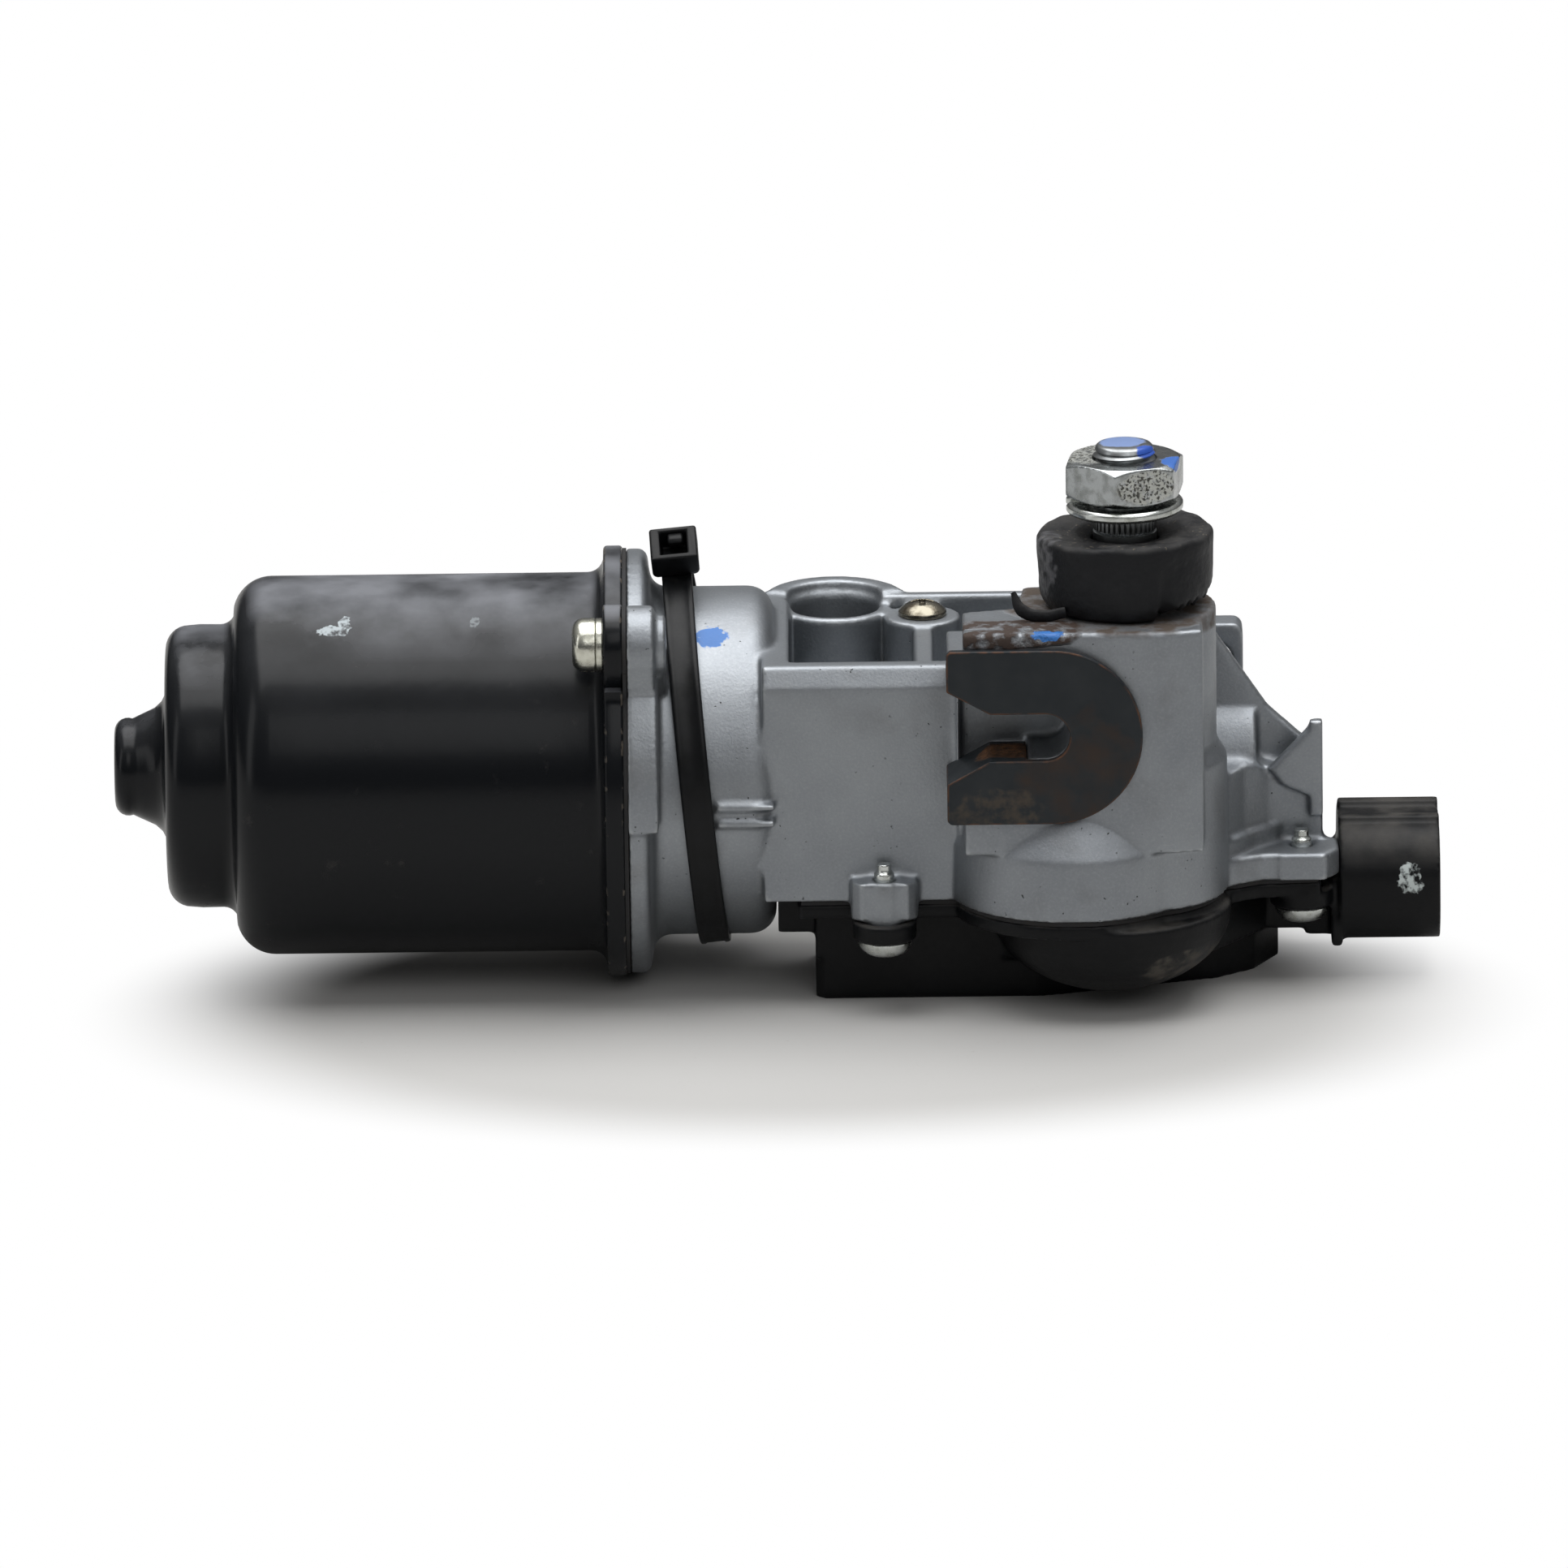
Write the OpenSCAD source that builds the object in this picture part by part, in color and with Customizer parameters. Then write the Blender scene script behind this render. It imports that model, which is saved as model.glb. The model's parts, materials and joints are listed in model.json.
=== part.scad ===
// Windshield wiper motor: a permanent-magnet motor with a worm gear housing,
// a plastic gear cover with its connector, and a threaded output shaft.
//
// Working frame: X runs along the motor axis, from the can to the connector.
// Y points to the back and Z points up. The output shaft crosses X = 0, and
// the motor axis lies at Y = 0, Z = 0. Every piece is then moved so that the
// origin is at the centre of the footprint, on the surface the motor lies on.

/* [Motor can] */
// Outside radius of the can's barrel
can_r = 29.7; // [29.2:0.1:30.2]
// Sheet thickness of the can
can_wall = 1.8; // [1.5:0.1:2]
// From the output shaft to the flat tip of the can
can_tip = 158.5; // [157:0.1:160]
// Radius of the round flange that joins the can to the gear housing
flange_r = 33.8; // [33.4:0.1:34.2]

/* [Gear housing] */
// Outside radius of the round neck behind the flange
neck_r = 27.3; // [27:0.1:27.6]
// Distance between the motor axis and the output shaft
centre_distance = 18.55; // [18.55]
// Height of the housing's upper rim above the motor axis
rim_z = 21.6; // [21:0.1:22]
// Height of the block that carries the output shaft
block_top = 29.8; // [29.4:0.1:30.2]
// Depth of the housing's lower lip below the motor axis
lip_z = -16.1; // [-16.4:0.1:-15.9]
// Radius of the through bore that takes a rubber grommet
grommet_bore_r = 6.95; // [6.5:0.05:7.1]
// Width of the fork slot that slides onto a stud
fork_width = 7.5; // [7:0.1:8]

/* [Output shaft] */
// Radius of the shaft where it turns in its bush
shaft_r = 5; // [5]
// Height of the shaft's tip above the motor axis
shaft_tip = 55.8; // [55.4:0.1:56.4]
// Size of the nut across its flats
nut_flats = 17; // [16.8:0.1:17.2]
// Turn of the nut about the shaft at rest
nut_turn = 20; // [0:1:59]
// Outside radius of the rubber boot
boot_r = 13.8; // [13.4:0.1:14]

/* [Gears] */
// Tooth module of the worm and the wheel
gear_module = 0.7; // [0.7]
// Teeth on the wheel, which is also the gear ratio
wheel_teeth = 37; // [37]
// Pitch radius of the worm
worm_pitch_r = 5.6; // [5.6]

/* [Connector] */
// From the output shaft to the mouth of the connector
connector_end = 49.1; // [48:0.1:50]
// Height of the connector shell
connector_h = 18.6; // [18:0.1:19]
// Width of the connector shell
connector_w = 27; // [26:0.1:28]

/* [Cable tie] */
// Width of the tie's strap
tie_w = 4.8; // [4.6:0.1:5]
// Lean of the tie around the neck
tie_lean = 5.3; // [4:0.1:6]

/* [Hidden] */
$fn = 64;
eps = 0.02;

// Stations along the motor axis
can_flange_x = -81.5;
flange_t = 3;
gasket_t = 0.6;
housing_x = can_flange_x + flange_t + gasket_t;
neck_end = -54.9;
tip_x = -can_tip;

// The surface below, and the middle of the footprint
floor_z = -flange_r;
front_y = -39.1;
middle = [(tip_x + connector_end) / 2, (front_y + flange_r) / 2, floor_z];

// Output shaft
shaft_y = -centre_distance;
washer_z = 44.8;
washer_t = 2.5;
nut_z = washer_z + washer_t + 0.3;
nut_t = 6;

// Screw ears of the flange, front top and rear bottom
ear_ring_r = 36;
ear_r = 6.3;
ear_angles = [133.9, 313.9];
flange_screw_r = 2.5;

// Screw towers behind the flange, and the length of the screws in them
tower_h = 6.2;
flange_screw_len = 10.6;

// Gear chamber
chamber_x = -8.4;
chamber_y = -19.4;
chamber_r = 19.7;
wall = 2.5;
wheel_pocket_r = 13.9;
tunnel_r = 10.5;
tunnel_bore_r = 7.2;
tunnel_end = 20.5;
face_y = -25.3;
rear_y = 19.7;

// Features of the housing's top
grommet_xy = [-45.3, 16.5];
grommet_wall = 1.9;
grommet_len = 14.4;
eye_top = 20.4;
case_screw_xy = [-31.5, 11];
lug_x = 18.9;
lug_hole_r = 3.3;
lug_t = 5.7;

// Fork slot in the front of the block
fork_r = fork_width / 2;
fork_x = -12.8;
fork_z = 13.5;
fork_mouth = -28.2;
fork_front = -37.3;
fork_back = -23;
clip_t = 1.6;
clip_r = 14;
clip_x = -11.7;
lining_back = face_y - 0.1;

// Cover
seal_t = 0.8;
cover_top = lip_z - seal_t;
cover_wall = 2.2;
cover_screw_xy = [[-38.1, -27.2], [27.4, -10.4], [-27, 23.2], [19, 22.6]];
cover_screw_seat = -21.5;
cover_screw_tip = -9.4;
column_r = 3.1;
eye_floor = 0.8;
ear_low = -18.4;
bowl_r = 18.8;
bowl_x = -2.6;
bowl_low = floor_z + 2.1;
tray_step_z = floor_z + 6.6;
connector_z = -19.1;
connector_x = 33.3;
terminal_y = [-4.2, -2.1, 0, 2.1, 4.2];

// Motor parts
magnet_x = [-133, -89];
core_x = [-129, -94];
core_r = 21.3;
magnet_r = [22, 27.7];
commutator_x = [-79, -62];
commutator_r = 11;
bearing_x = [-57.5, -50.5];
bearing_r = 11;
rotor_shaft_r = 4;
worm_seat_r = 3;
running_gap = 0.03;

// Moves a piece from the working frame to the part's own frame
module placed() {
    translate(-middle) children();
}

// Stands a shape up along the motor axis: drawn X becomes Y, drawn Y becomes Z
module along_x(x) {
    translate([x, 0, 0]) rotate([90, 0, 90]) children();
}

// Lays a drawing in the X-Z plane and gives it depth towards the back
module along_y(y, depth) {
    translate([0, y + depth, 0]) rotate([90, 0, 0]) linear_extrude(depth) children();
}

module box(low, high) {
    translate(low) cube(high - low);
}

module ring(r_out, r_in, h) {
    difference() {
        cylinder(r = r_out, h = h);
        translate([0, 0, -eps]) cylinder(r = r_in, h = h + 2 * eps);
    }
}

function arc(c, r, a0, a1, n) =
    [for (i = [0:n]) c + r * [cos(a0 + (a1 - a0) * i / n), sin(a0 + (a1 - a0) * i / n)]];

function polar(r, a) = [r * cos(a), r * sin(a)];

// A screw ear of the flange, as a drawing with straight flanks into the round flange
module ear_outline(r) {
    for (a = ear_angles) {
        rotate(a) {
            translate([ear_ring_r, 0]) circle(r = r);
            polygon([[20, -13], [ear_ring_r + 1, -r], [ear_ring_r + 1, r], [20, 13]]);
        }
    }
}

// ---------------------------------------------------------------- motor can

function can_outside() = concat(
    [[0, tip_x]],
    arc([4.9, tip_x + 2], 2, 270, 360, 5),
    [[7.4, tip_x + 4.2], [8.1, tip_x + 5.8], [9.6, tip_x + 7.6], [10.6, tip_x + 8.2]],
    arc([18.7, tip_x + 11.7], 3.5, 270, 360, 6),
    arc([24.6, tip_x + 16.4], 2.4, 180, 105, 4),
    arc([can_r - 6, tip_x + 24.8], 6, 285, 360, 6),
    arc([can_r + 2.5, can_flange_x - 2.5], 2.5, 180, 90, 4),
    [[flange_r - 0.6, can_flange_x], [flange_r, can_flange_x + 0.6]],
    [[flange_r, can_flange_x + flange_t]]
);

function can_inside() = [
    [can_r - can_wall, can_flange_x + flange_t],
    [can_r - can_wall, tip_x + 24.3],
    [can_r - can_wall - 1.4, tip_x + 21.2],
    [can_r - can_wall - 4.2, tip_x + 20.2],
    [20.4, tip_x + 18],
    [20.4, tip_x + 10],
    [5.9, tip_x + 10],
    [5.9, tip_x + 3],
    [4.5, tip_x + 1.6],
    [0, tip_x + 1.6]
];

module yoke() {
    color("#1b1d20") placed() {
        difference() {
            union() {
                along_x(0) rotate_extrude() polygon(concat(can_outside(), can_inside()));
                along_x(can_flange_x) {
                    linear_extrude(flange_t) {
                        difference() {
                            ear_outline(ear_r);
                            circle(r = can_r + 1);
                        }
                    }
                }
            }
            for (a = ear_angles) {
                along_x(can_flange_x - 1) {
                    translate(polar(ear_ring_r, a)) cylinder(r = flange_screw_r + 0.3, h = flange_t + 2);
                }
            }
        }
    }
}

module yoke_gasket() {
    color("#111214") placed() {
        along_x(can_flange_x + flange_t) {
            difference() {
                union() {
                    cylinder(r = flange_r - 0.4, h = gasket_t);
                    linear_extrude(gasket_t) ear_outline(ear_r - 0.3);
                }
                translate([0, 0, -eps]) cylinder(r = can_r - 1, h = gasket_t + 2 * eps);
                for (a = ear_angles) {
                    translate(polar(ear_ring_r, a)) translate([0, 0, -eps])
                        cylinder(r = flange_screw_r + 0.3, h = gasket_t + 2 * eps);
                }
            }
        }
    }
}

// Pan-head screws, from the can's flange into the housing's ears
screw_washer_t = 1.1;
function pan_head(r, h) = concat([[0, -h]], arc([r - 2, -h + 1.6], 2, 285, 360, 5), [[r, 0]]);

module yoke_screws() {
    color("#c9c7b4") placed() {
        for (a = ear_angles) {
            along_x(can_flange_x - screw_washer_t) translate(polar(ear_ring_r, a)) {
                difference() {
                    union() {
                        rotate_extrude() polygon(concat(pan_head(4.25, 3.4), [[0, 0]]));
                        cylinder(r = flange_screw_r - 0.05, h = flange_screw_len);
                    }
                    translate([0, 0, -3.4]) {
                        box([-2.4, -0.5, -1], [2.4, 0.5, 1.6]);
                        box([-0.5, -2.4, -1], [0.5, 2.4, 1.6]);
                    }
                }
            }
        }
    }
}

module yoke_washers() {
    color("#b9b8ac") placed() {
        for (a = ear_angles) {
            along_x(can_flange_x - screw_washer_t) translate(polar(ear_ring_r, a)) {
                difference() {
                    ring(4.2, flange_screw_r + 0.1, screw_washer_t);
                    rotate(20) box([0, -0.4, -1], [6, 0.4, 2]);
                }
            }
        }
    }
}

// ------------------------------------------------------------- gear housing

// Outline of the housing's lower lip, seen from above
module lip_outline() {
    polygon([
        [-52, face_y], [-8, face_y], [17.5, -18.5], [21, -16.5], [30.8, -15.5],
        [30.8, 12], [25, rear_y], [-34, rear_y], [-34, 8], [-52, 8]
    ]);
    translate([chamber_x, chamber_y]) circle(r = chamber_r, $fn = 120);
    translate([0, shaft_y]) circle(r = 15.7, $fn = 96);
}

// Neck and flange, turned about the motor axis
function neck_outside() = concat(
    [[0, housing_x], [flange_r - 0.5, housing_x], [flange_r - 0.5, housing_x + 2.4]],
    [[flange_r - 1.4, housing_x + 3.3], [neck_r + 2.6, housing_x + 3.6]],
    arc([neck_r + 2.6, housing_x + 6.2], 2.6, 270, 180, 4),
    arc([neck_r - 4, neck_end - 4], 4, 0, 90, 6),
    [[0, neck_end]]
);

module flange_and_neck() {
    along_x(0) rotate_extrude($fn = 96) polygon(neck_outside());
    along_x(housing_x) linear_extrude(4.4) ear_outline(ear_r - 0.2);
    // Screw towers behind the ears
    for (a = ear_angles) {
        along_x(housing_x) {
            translate(polar(ear_ring_r, a)) cylinder(r = 4.6, h = tower_h);
            rotate(a) linear_extrude(tower_h - 0.3) {
                polygon([[20, -4.2], [ear_ring_r, -4.2], [ear_ring_r, 4.2], [20, 4.2]]);
            }
        }
    }
    // Thick rim on the front of the flange, below the upper ear
    along_x(housing_x) {
        rotate(138) rotate_extrude(angle = 46) translate([24, 0]) square([flange_r + 0.2 - 24, 4.8]);
    }
    // Parting ribs on the neck
    along_x(-64) {
        rotate(179) rotate_extrude(angle = 2.2) translate([20, 0]) square([neck_r + 0.8 - 20, 9]);
        rotate(184.5) rotate_extrude(angle = 2.2) translate([20, 0]) square([neck_r + 0.8 - 20, 9]);
    }
}

module upper_box() {
    // Front shell with its slanted shoulder
    along_x(neck_end - 2) {
        linear_extrude(34) polygon([
            [-8, lip_z], [face_y, lip_z], [face_y, 18.4], [-23.6, rim_z], [rear_y, rim_z],
            [rear_y, 6], [8, 6], [8, lip_z]
        ]);
    }
    box([-34, -8, lip_z], [13, rear_y, 14]);
    // Rear wall up to the rim
    box([-34, rear_y - wall, lip_z], [13, rear_y, rim_z]);
    // Vertical foot that meets the block
    box([-26.5, face_y - 0.9, lip_z], [-24, -10, rim_z]);
}

module shaft_block() {
    // Front block with the fork slot
    translate([0, 0, -6]) linear_extrude(block_top + 6) {
        polygon([
            [-25.5, -35.7], [6.3, -35.7], [11.8, -34.3], [11.8, -6], [-2, -4.8],
            [-16, -8], [-17, -20], [-25.5, -22]
        ]);
    }
    translate([0, shaft_y, 0]) cylinder(r = 14.1, h = block_top);
    translate([0, shaft_y, 0]) cylinder(r = 9, h = 36);
    // Round gear chamber with its sloping ledge
    translate([chamber_x, chamber_y, lip_z]) cylinder(r = chamber_r, h = 9.6);
    translate([chamber_x, chamber_y, lip_z + 9.6]) cylinder(r1 = chamber_r, r2 = 15.9, h = 7);
    translate([0, shaft_y, lip_z]) cylinder(r = 15.7, h = 21.6);
    translate([0, shaft_y, lip_z + 21.6]) cylinder(r1 = 15.7, r2 = 11.5, h = 7);
}

// Outer wall to the right of the chamber, set back behind the right ear's screw
module right_outline() {
    polygon([
        [-8, face_y], [11.8, -23.5], [15, -18], [18.5, -12.6], [22.5, -9], [25.5, -8.2],
        [30.8, -8.2], [30.8, 12], [25, rear_y], [-34, rear_y], [-34, 0]
    ]);
}

module right_end() {
    // Lower body to the right of the chamber, on a foot that carries the lip
    translate([0, 0, lip_z]) linear_extrude(14.4) right_outline();
    translate([0, 0, lip_z]) linear_extrude(4.3) {
        polygon([[11.8, -23.5], [17.5, -18.5], [21, -16.5], [30.8, -15.5], [30.8, 0], [8, 0]]);
    }
    translate([0, 0, lip_z]) linear_extrude(7.2) {
        polygon([[11.8, -23.5], [16.5, -18], [20, -13], [24, -9], [24, 0], [8, 0]]);
    }
    // Deck that slopes down from the chamber to the right and to the rear
    intersection() {
        along_y(-19, 19 + rear_y) polygon([[8, -6], [8, 7], [14, 3.5], [22, 0.6], [30.8, -2.2], [30.8, -6]]);
        along_x(8) linear_extrude(22.8) {
            polygon([[-19, -6], [-19, 0.8], [-12, 1.6], [-6, 4], [-3, 7], [6, 5.5], [rear_y, 0.4], [rear_y, -6]]);
        }
        translate([0, 0, -6]) linear_extrude(14) right_outline();
    }
    // Diagonal web under the boot
    along_y(-5.2, 3) polygon([
        [8, 0], [8, 25.5], [12.3, 23.8], [22.3, 9], [27.3, 4.4], [30.8, 2], [30.8, -4]
    ]);
    // End plate with its raised front corner
    along_x(28.8) linear_extrude(2) polygon([[-10.6, 8.1], [-8.6, 8.1], [-3, 2], [12, 1], [12, -7.4], [-10.6, -7.4]]);
    along_y(-10.6, 2.5) polygon([[22.4, 0.4], [24.5, -2.4], [30.8, -5], [30.8, 8.1], [29.8, 8.1]]);
    // Rear lug with a cross hole
    along_y(rear_y - lug_t, lug_t) {
        translate([lug_x - 1.5, 15.7]) circle(r = 1.5);
        polygon([[0, 2], [0, 17.2], [lug_x - 1.5, 17.2], [lug_x, 15.7], [lug_x, 6], [lug_x - 2, 2]]);
    }
}

module screw_ears() {
    for (p = cover_screw_xy) {
        translate([p[0], p[1], cover_screw_seat + eye_floor + eps]) cylinder(r = column_r, h = 9.6 - eye_floor);
    }
    // Wide ear around the front left column
    translate([cover_screw_xy[0][0], 0, ear_low]) linear_extrude(6.2) {
        polygon([[-5.25, -24.9], [-5.25, -28], [-3.6, -29.6], [3.6, -29.6], [5.25, -28], [5.25, -24.9]]);
    }
    // Ear at the right end
    translate([0, 0, lip_z]) linear_extrude(4.3) {
        polygon([[20, -12], [20.5, -15.4], [24, -16.6], [31, -16.6], [33.2, -13], [33.2, -7], [29, -4]]);
    }
    // Ears on the rear wall
    for (i = [2, 3]) {
        translate([cover_screw_xy[i][0], 0, ear_low]) linear_extrude(6.2) {
            polygon([[-5, 19.4], [-5, 24], [-3, 26], [3, 26], [5, 24], [5, 19.4]]);
        }
    }
}

module housing_solid() {
    flange_and_neck();
    upper_box();
    shaft_block();
    right_end();
    screw_ears();
    along_x(neck_end - 1) cylinder(r = tunnel_r, h = tunnel_end - neck_end + 1);
    // Eye of the grommet bore
    translate([grommet_xy[0], grommet_xy[1], eye_top - grommet_len]) {
        cylinder(r = grommet_bore_r + grommet_wall, h = grommet_len);
    }
}

// Everything that is cored out of the casting
module housing_cores() {
    // Neck, bearing seat and worm tunnel
    along_x(housing_x - 1) cylinder(r = neck_r - 3, h = bearing_x[0] - housing_x + 1);
    along_x(bearing_x[0] - eps) cylinder(r = bearing_r + 0.01, h = bearing_x[1] - bearing_x[0] + eps);
    along_x(bearing_x[1] - eps) cylinder(r = tunnel_bore_r, h = 12.5 - bearing_x[1]);
    along_x(12) cylinder(r = 5.51, h = 6);
    // Lower chamber round the tunnel
    difference() {
        union() {
            translate([0, 0, lip_z - 1]) linear_extrude(1 + 9.6) offset(delta = -wall) lip_outline();
            box([-50, -20, -8], [-26, 5.5, 9]);
        }
        along_x(-60) cylinder(r = tunnel_r - 0.6, h = 80);
        translate([case_screw_xy[0], case_screw_xy[1], -12]) cylinder(r = 4.5, h = 22);
        // Metal left behind the set-back wall on the right
        translate([0, 0, lip_z - 2]) linear_extrude(14) {
            polygon([[13.4, -30], [13.4, -18.5], [16.4, -11.6], [21.5, -6.2], [25, -5.4], [31, -5.4], [31, -30]]);
        }
    }
    // Wheel pocket and the bush seat above it
    translate([0, shaft_y, lip_z - 1]) cylinder(r = wheel_pocket_r, h = 4.6 - lip_z + 1);
    translate([0, shaft_y, 4]) cylinder(r = 7.01, h = 40);
    // Open pocket on the top
    difference() {
        union() {
            box([-52.6, -20.4, 11.6], [-27.9, rear_y - wall, rim_z + 5]);
            box([-34, -3.4, 11.6], [10, rear_y - wall, rim_z + 5]);
        }
        translate([grommet_xy[0], grommet_xy[1], 0]) cylinder(r = grommet_bore_r + grommet_wall + eps, h = eye_top);
        translate([case_screw_xy[0], case_screw_xy[1], 0]) cylinder(r = 6, h = 20.2);
        box([case_screw_xy[0] - 1.5, -22, 0], [case_screw_xy[0] + 1.5, case_screw_xy[1], 19.6]);
        translate([0, shaft_y, 0]) cylinder(r = 14.1, h = block_top);
    }
    translate([case_screw_xy[0], case_screw_xy[1], 8]) cylinder(r = 2.05, h = 40);
    // Fork slot, open to the left
    translate([fork_x, fork_front - 1, fork_z]) rotate([-90, 0, 0]) cylinder(r = fork_r, h = fork_back - fork_front + 1);
    along_y(fork_front - 1, fork_back - fork_front + 1) polygon([
        [fork_x, fork_z - fork_r], [fork_x, fork_z + fork_r],
        [fork_x - 3, fork_z + fork_r], [fork_x - 3, fork_z + fork_r + clip_t + eps],
        [-21, fork_z + fork_r + clip_t + eps], [-26, fork_z + 8.3], [-26, fork_z - 8.3],
        [-21, fork_z - fork_r - clip_t - eps],
        [fork_x - 3, fork_z - fork_r - clip_t - eps], [fork_x - 3, fork_z - fork_r]
    ]);
    // Holes
    for (a = ear_angles) {
        along_x(housing_x - 1) translate(polar(ear_ring_r, a)) cylinder(r = flange_screw_r, h = 18);
    }
    for (p = cover_screw_xy) {
        translate([p[0], p[1], -30]) cylinder(r = 1.65, h = 19.4);
    }
    translate([14, rear_y - lug_t - 1, 11]) rotate([-90, 0, 0]) cylinder(r = lug_hole_r, h = lug_t + 2);
}

// Raised wall behind the grommet eye
module eye_wall() {
    translate([grommet_xy[0], grommet_xy[1], 8]) {
        rotate(15) rotate_extrude(angle = 150) translate([7.8, 0]) square([3.2, 14.2]);
    }
}

module gear_housing() {
    color("#8a8f94") placed() {
        difference() {
            union() {
                difference() {
                    housing_solid();
                    housing_cores();
                }
                eye_wall();
            }
            translate([grommet_xy[0], grommet_xy[1], eye_top - grommet_len - 12]) {
                cylinder(r = grommet_bore_r, h = 40);
                cylinder(r = 8.2, h = 12);
                translate([0, 0, 12 + grommet_len]) cylinder(r = 7.5, h = 9);
            }
        }
    }
}

module case_screw() {
    color("#8d8672") placed() {
        translate([case_screw_xy[0], case_screw_xy[1], 20.2]) {
            difference() {
                union() {
                    rotate_extrude() polygon(concat([[0, 0], [3.8, 0], [3.8, 0.7]], arc([0, -2.6], 5.03, 41, 90, 6)));
                    translate([0, 0, -9]) cylinder(r = 1.95, h = 9 + eps);
                }
                translate([0, 0, 1.4]) {
                    box([-1.8, -0.45, 0], [1.8, 0.45, 3]);
                    box([-0.45, -1.8, 0], [0.45, 1.8, 3]);
                }
            }
        }
    }
}

// Steel lining of the fork slot: two C-shaped plates joined along both jaws
module clip_plate() {
    difference() {
        union() {
            translate([clip_x, fork_z]) circle(r = clip_r);
            polygon([
                [clip_x, fork_z - clip_r], [clip_x, fork_z + clip_r],
                [fork_mouth + 0.6, fork_z + clip_r], [fork_mouth, fork_z + clip_r - 0.6],
                [fork_mouth, fork_z - clip_r + 0.6], [fork_mouth + 0.6, fork_z - clip_r]
            ]);
        }
        translate([fork_x, fork_z]) circle(r = fork_r);
        polygon([
            [fork_x, fork_z - fork_r], [fork_x, fork_z + fork_r], [-21.4, fork_z + fork_r],
            [fork_mouth - 1, fork_z + 8], [fork_mouth - 1, fork_z - 8], [-21.4, fork_z - fork_r]
        ]);
    }
}

module clip_jaw_lining() {
    polygon([
        [fork_x - 3, fork_r], [fork_x - 3, fork_r + clip_t], [-21.1, fork_r + clip_t],
        [fork_mouth, 9.3], [fork_mouth, 7.5], [-21.4, fork_r]
    ]);
}

module fork_clip() {
    color("#2a241f") placed() {
        along_y(fork_front, clip_t) clip_plate();
        along_y(fork_front, lining_back - fork_front) translate([0, fork_z]) {
            clip_jaw_lining();
            mirror([0, 1]) clip_jaw_lining();
        }
    }
}

// ------------------------------------------------------- cover and its seal

// Outline of the cover's deep tray, seen from above
module tray_outline() {
    polygon([
        [-48.9, -19], [-20, -19], [-8, -30], [6, -28], [16, -14], [22, -5.2],
        [31.4, -5.2], [31.4, 8], [24, 17], [-32, 17], [-36, 6], [-48.9, 6]
    ]);
}

module cover_flange_outline() {
    offset(delta = -0.6) lip_outline();
}

// Lowest step of the tray, which the unit rests on
module foot_outline() {
    polygon([
        [-48.9, -17.4], [-47.3, -19], [-14, -19], [6, -12.6], [14, -10], [20, -5.2],
        [24, 3], [21, 15], [-32, 15], [-36, 6], [-48.9, 6]
    ]);
}

module cover_outside() {
    translate([0, 0, cover_top - 2.2]) linear_extrude(2.2) cover_flange_outline();
    translate([0, 0, tray_step_z]) linear_extrude(cover_top - tray_step_z) tray_outline();
    translate([0, 0, floor_z]) linear_extrude(tray_step_z - floor_z + eps) foot_outline();
    // Bowl under the gear chamber
    translate([bowl_x, chamber_y, 0]) rotate_extrude($fn = 96) polygon(concat(
        [[0, cover_top - 1], [bowl_r, cover_top - 1]],
        [for (a = [0:8:88]) [bowl_r * cos(a), cover_top - 2 - (cover_top - 2 - bowl_low) * sin(a)]],
        [[0, bowl_low]]
    ));
    // Screw eyes
    for (p = cover_screw_xy) {
        translate([p[0], p[1], cover_screw_seat]) cylinder(r = 5, h = 3);
    }
    box([-42.7, -27, cover_screw_seat], [-33.5, -15, cover_screw_seat + 3]);
    for (i = [2, 3]) {
        box([cover_screw_xy[i][0] - 4, 12, cover_screw_seat], [cover_screw_xy[i][0] + 4, 23, cover_screw_seat + 3]);
    }
    // Connector shell
    box([28, -5.2, floor_z + 5.5], [connector_x + 0.5, 12, cover_top - 0.3]);
    box([32, -12, floor_z + 5.5], [connector_x + 0.5, 12, cover_top - 0.3]);
    // Left end of the tray, under the neck
    box([neck_end + 0.2, -17, floor_z + 10.3], [-48, 6, cover_top]);
    along_x(connector_x) translate([0, connector_z]) linear_extrude(connector_end - connector_x) connector_outline();
    along_x(connector_x) translate([0, connector_z]) {
        for (y = [-4.5, 4.5]) {
            translate([0, connector_h / 2 - 1, 0]) linear_extrude(connector_end - connector_x)
                polygon([[y - 1.8, 0], [y - 1.2, 1.9], [y + 1.2, 1.9], [y + 1.8, 0]]);
        }
    }
}

module connector_outline() {
    r = 8;
    translate([-(connector_w / 2 - r), 0]) connector_end_round(r);
    translate([connector_w / 2 - r, 0]) connector_end_round(r);
    polygon([
        [-(connector_w / 2 - r), -connector_h / 2], [connector_w / 2 - r, -connector_h / 2],
        [connector_w / 2 - r, connector_h / 2], [-(connector_w / 2 - r), connector_h / 2]
    ]);
}

// Corner rounding of the connector: two arcs joined by a short flat
module connector_end_round(r) {
    flat = connector_h / 2 - r;
    translate([0, flat]) circle(r = r);
    translate([0, -flat]) circle(r = r);
    translate([-r, -flat]) square([2 * r, 2 * flat]);
}

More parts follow.
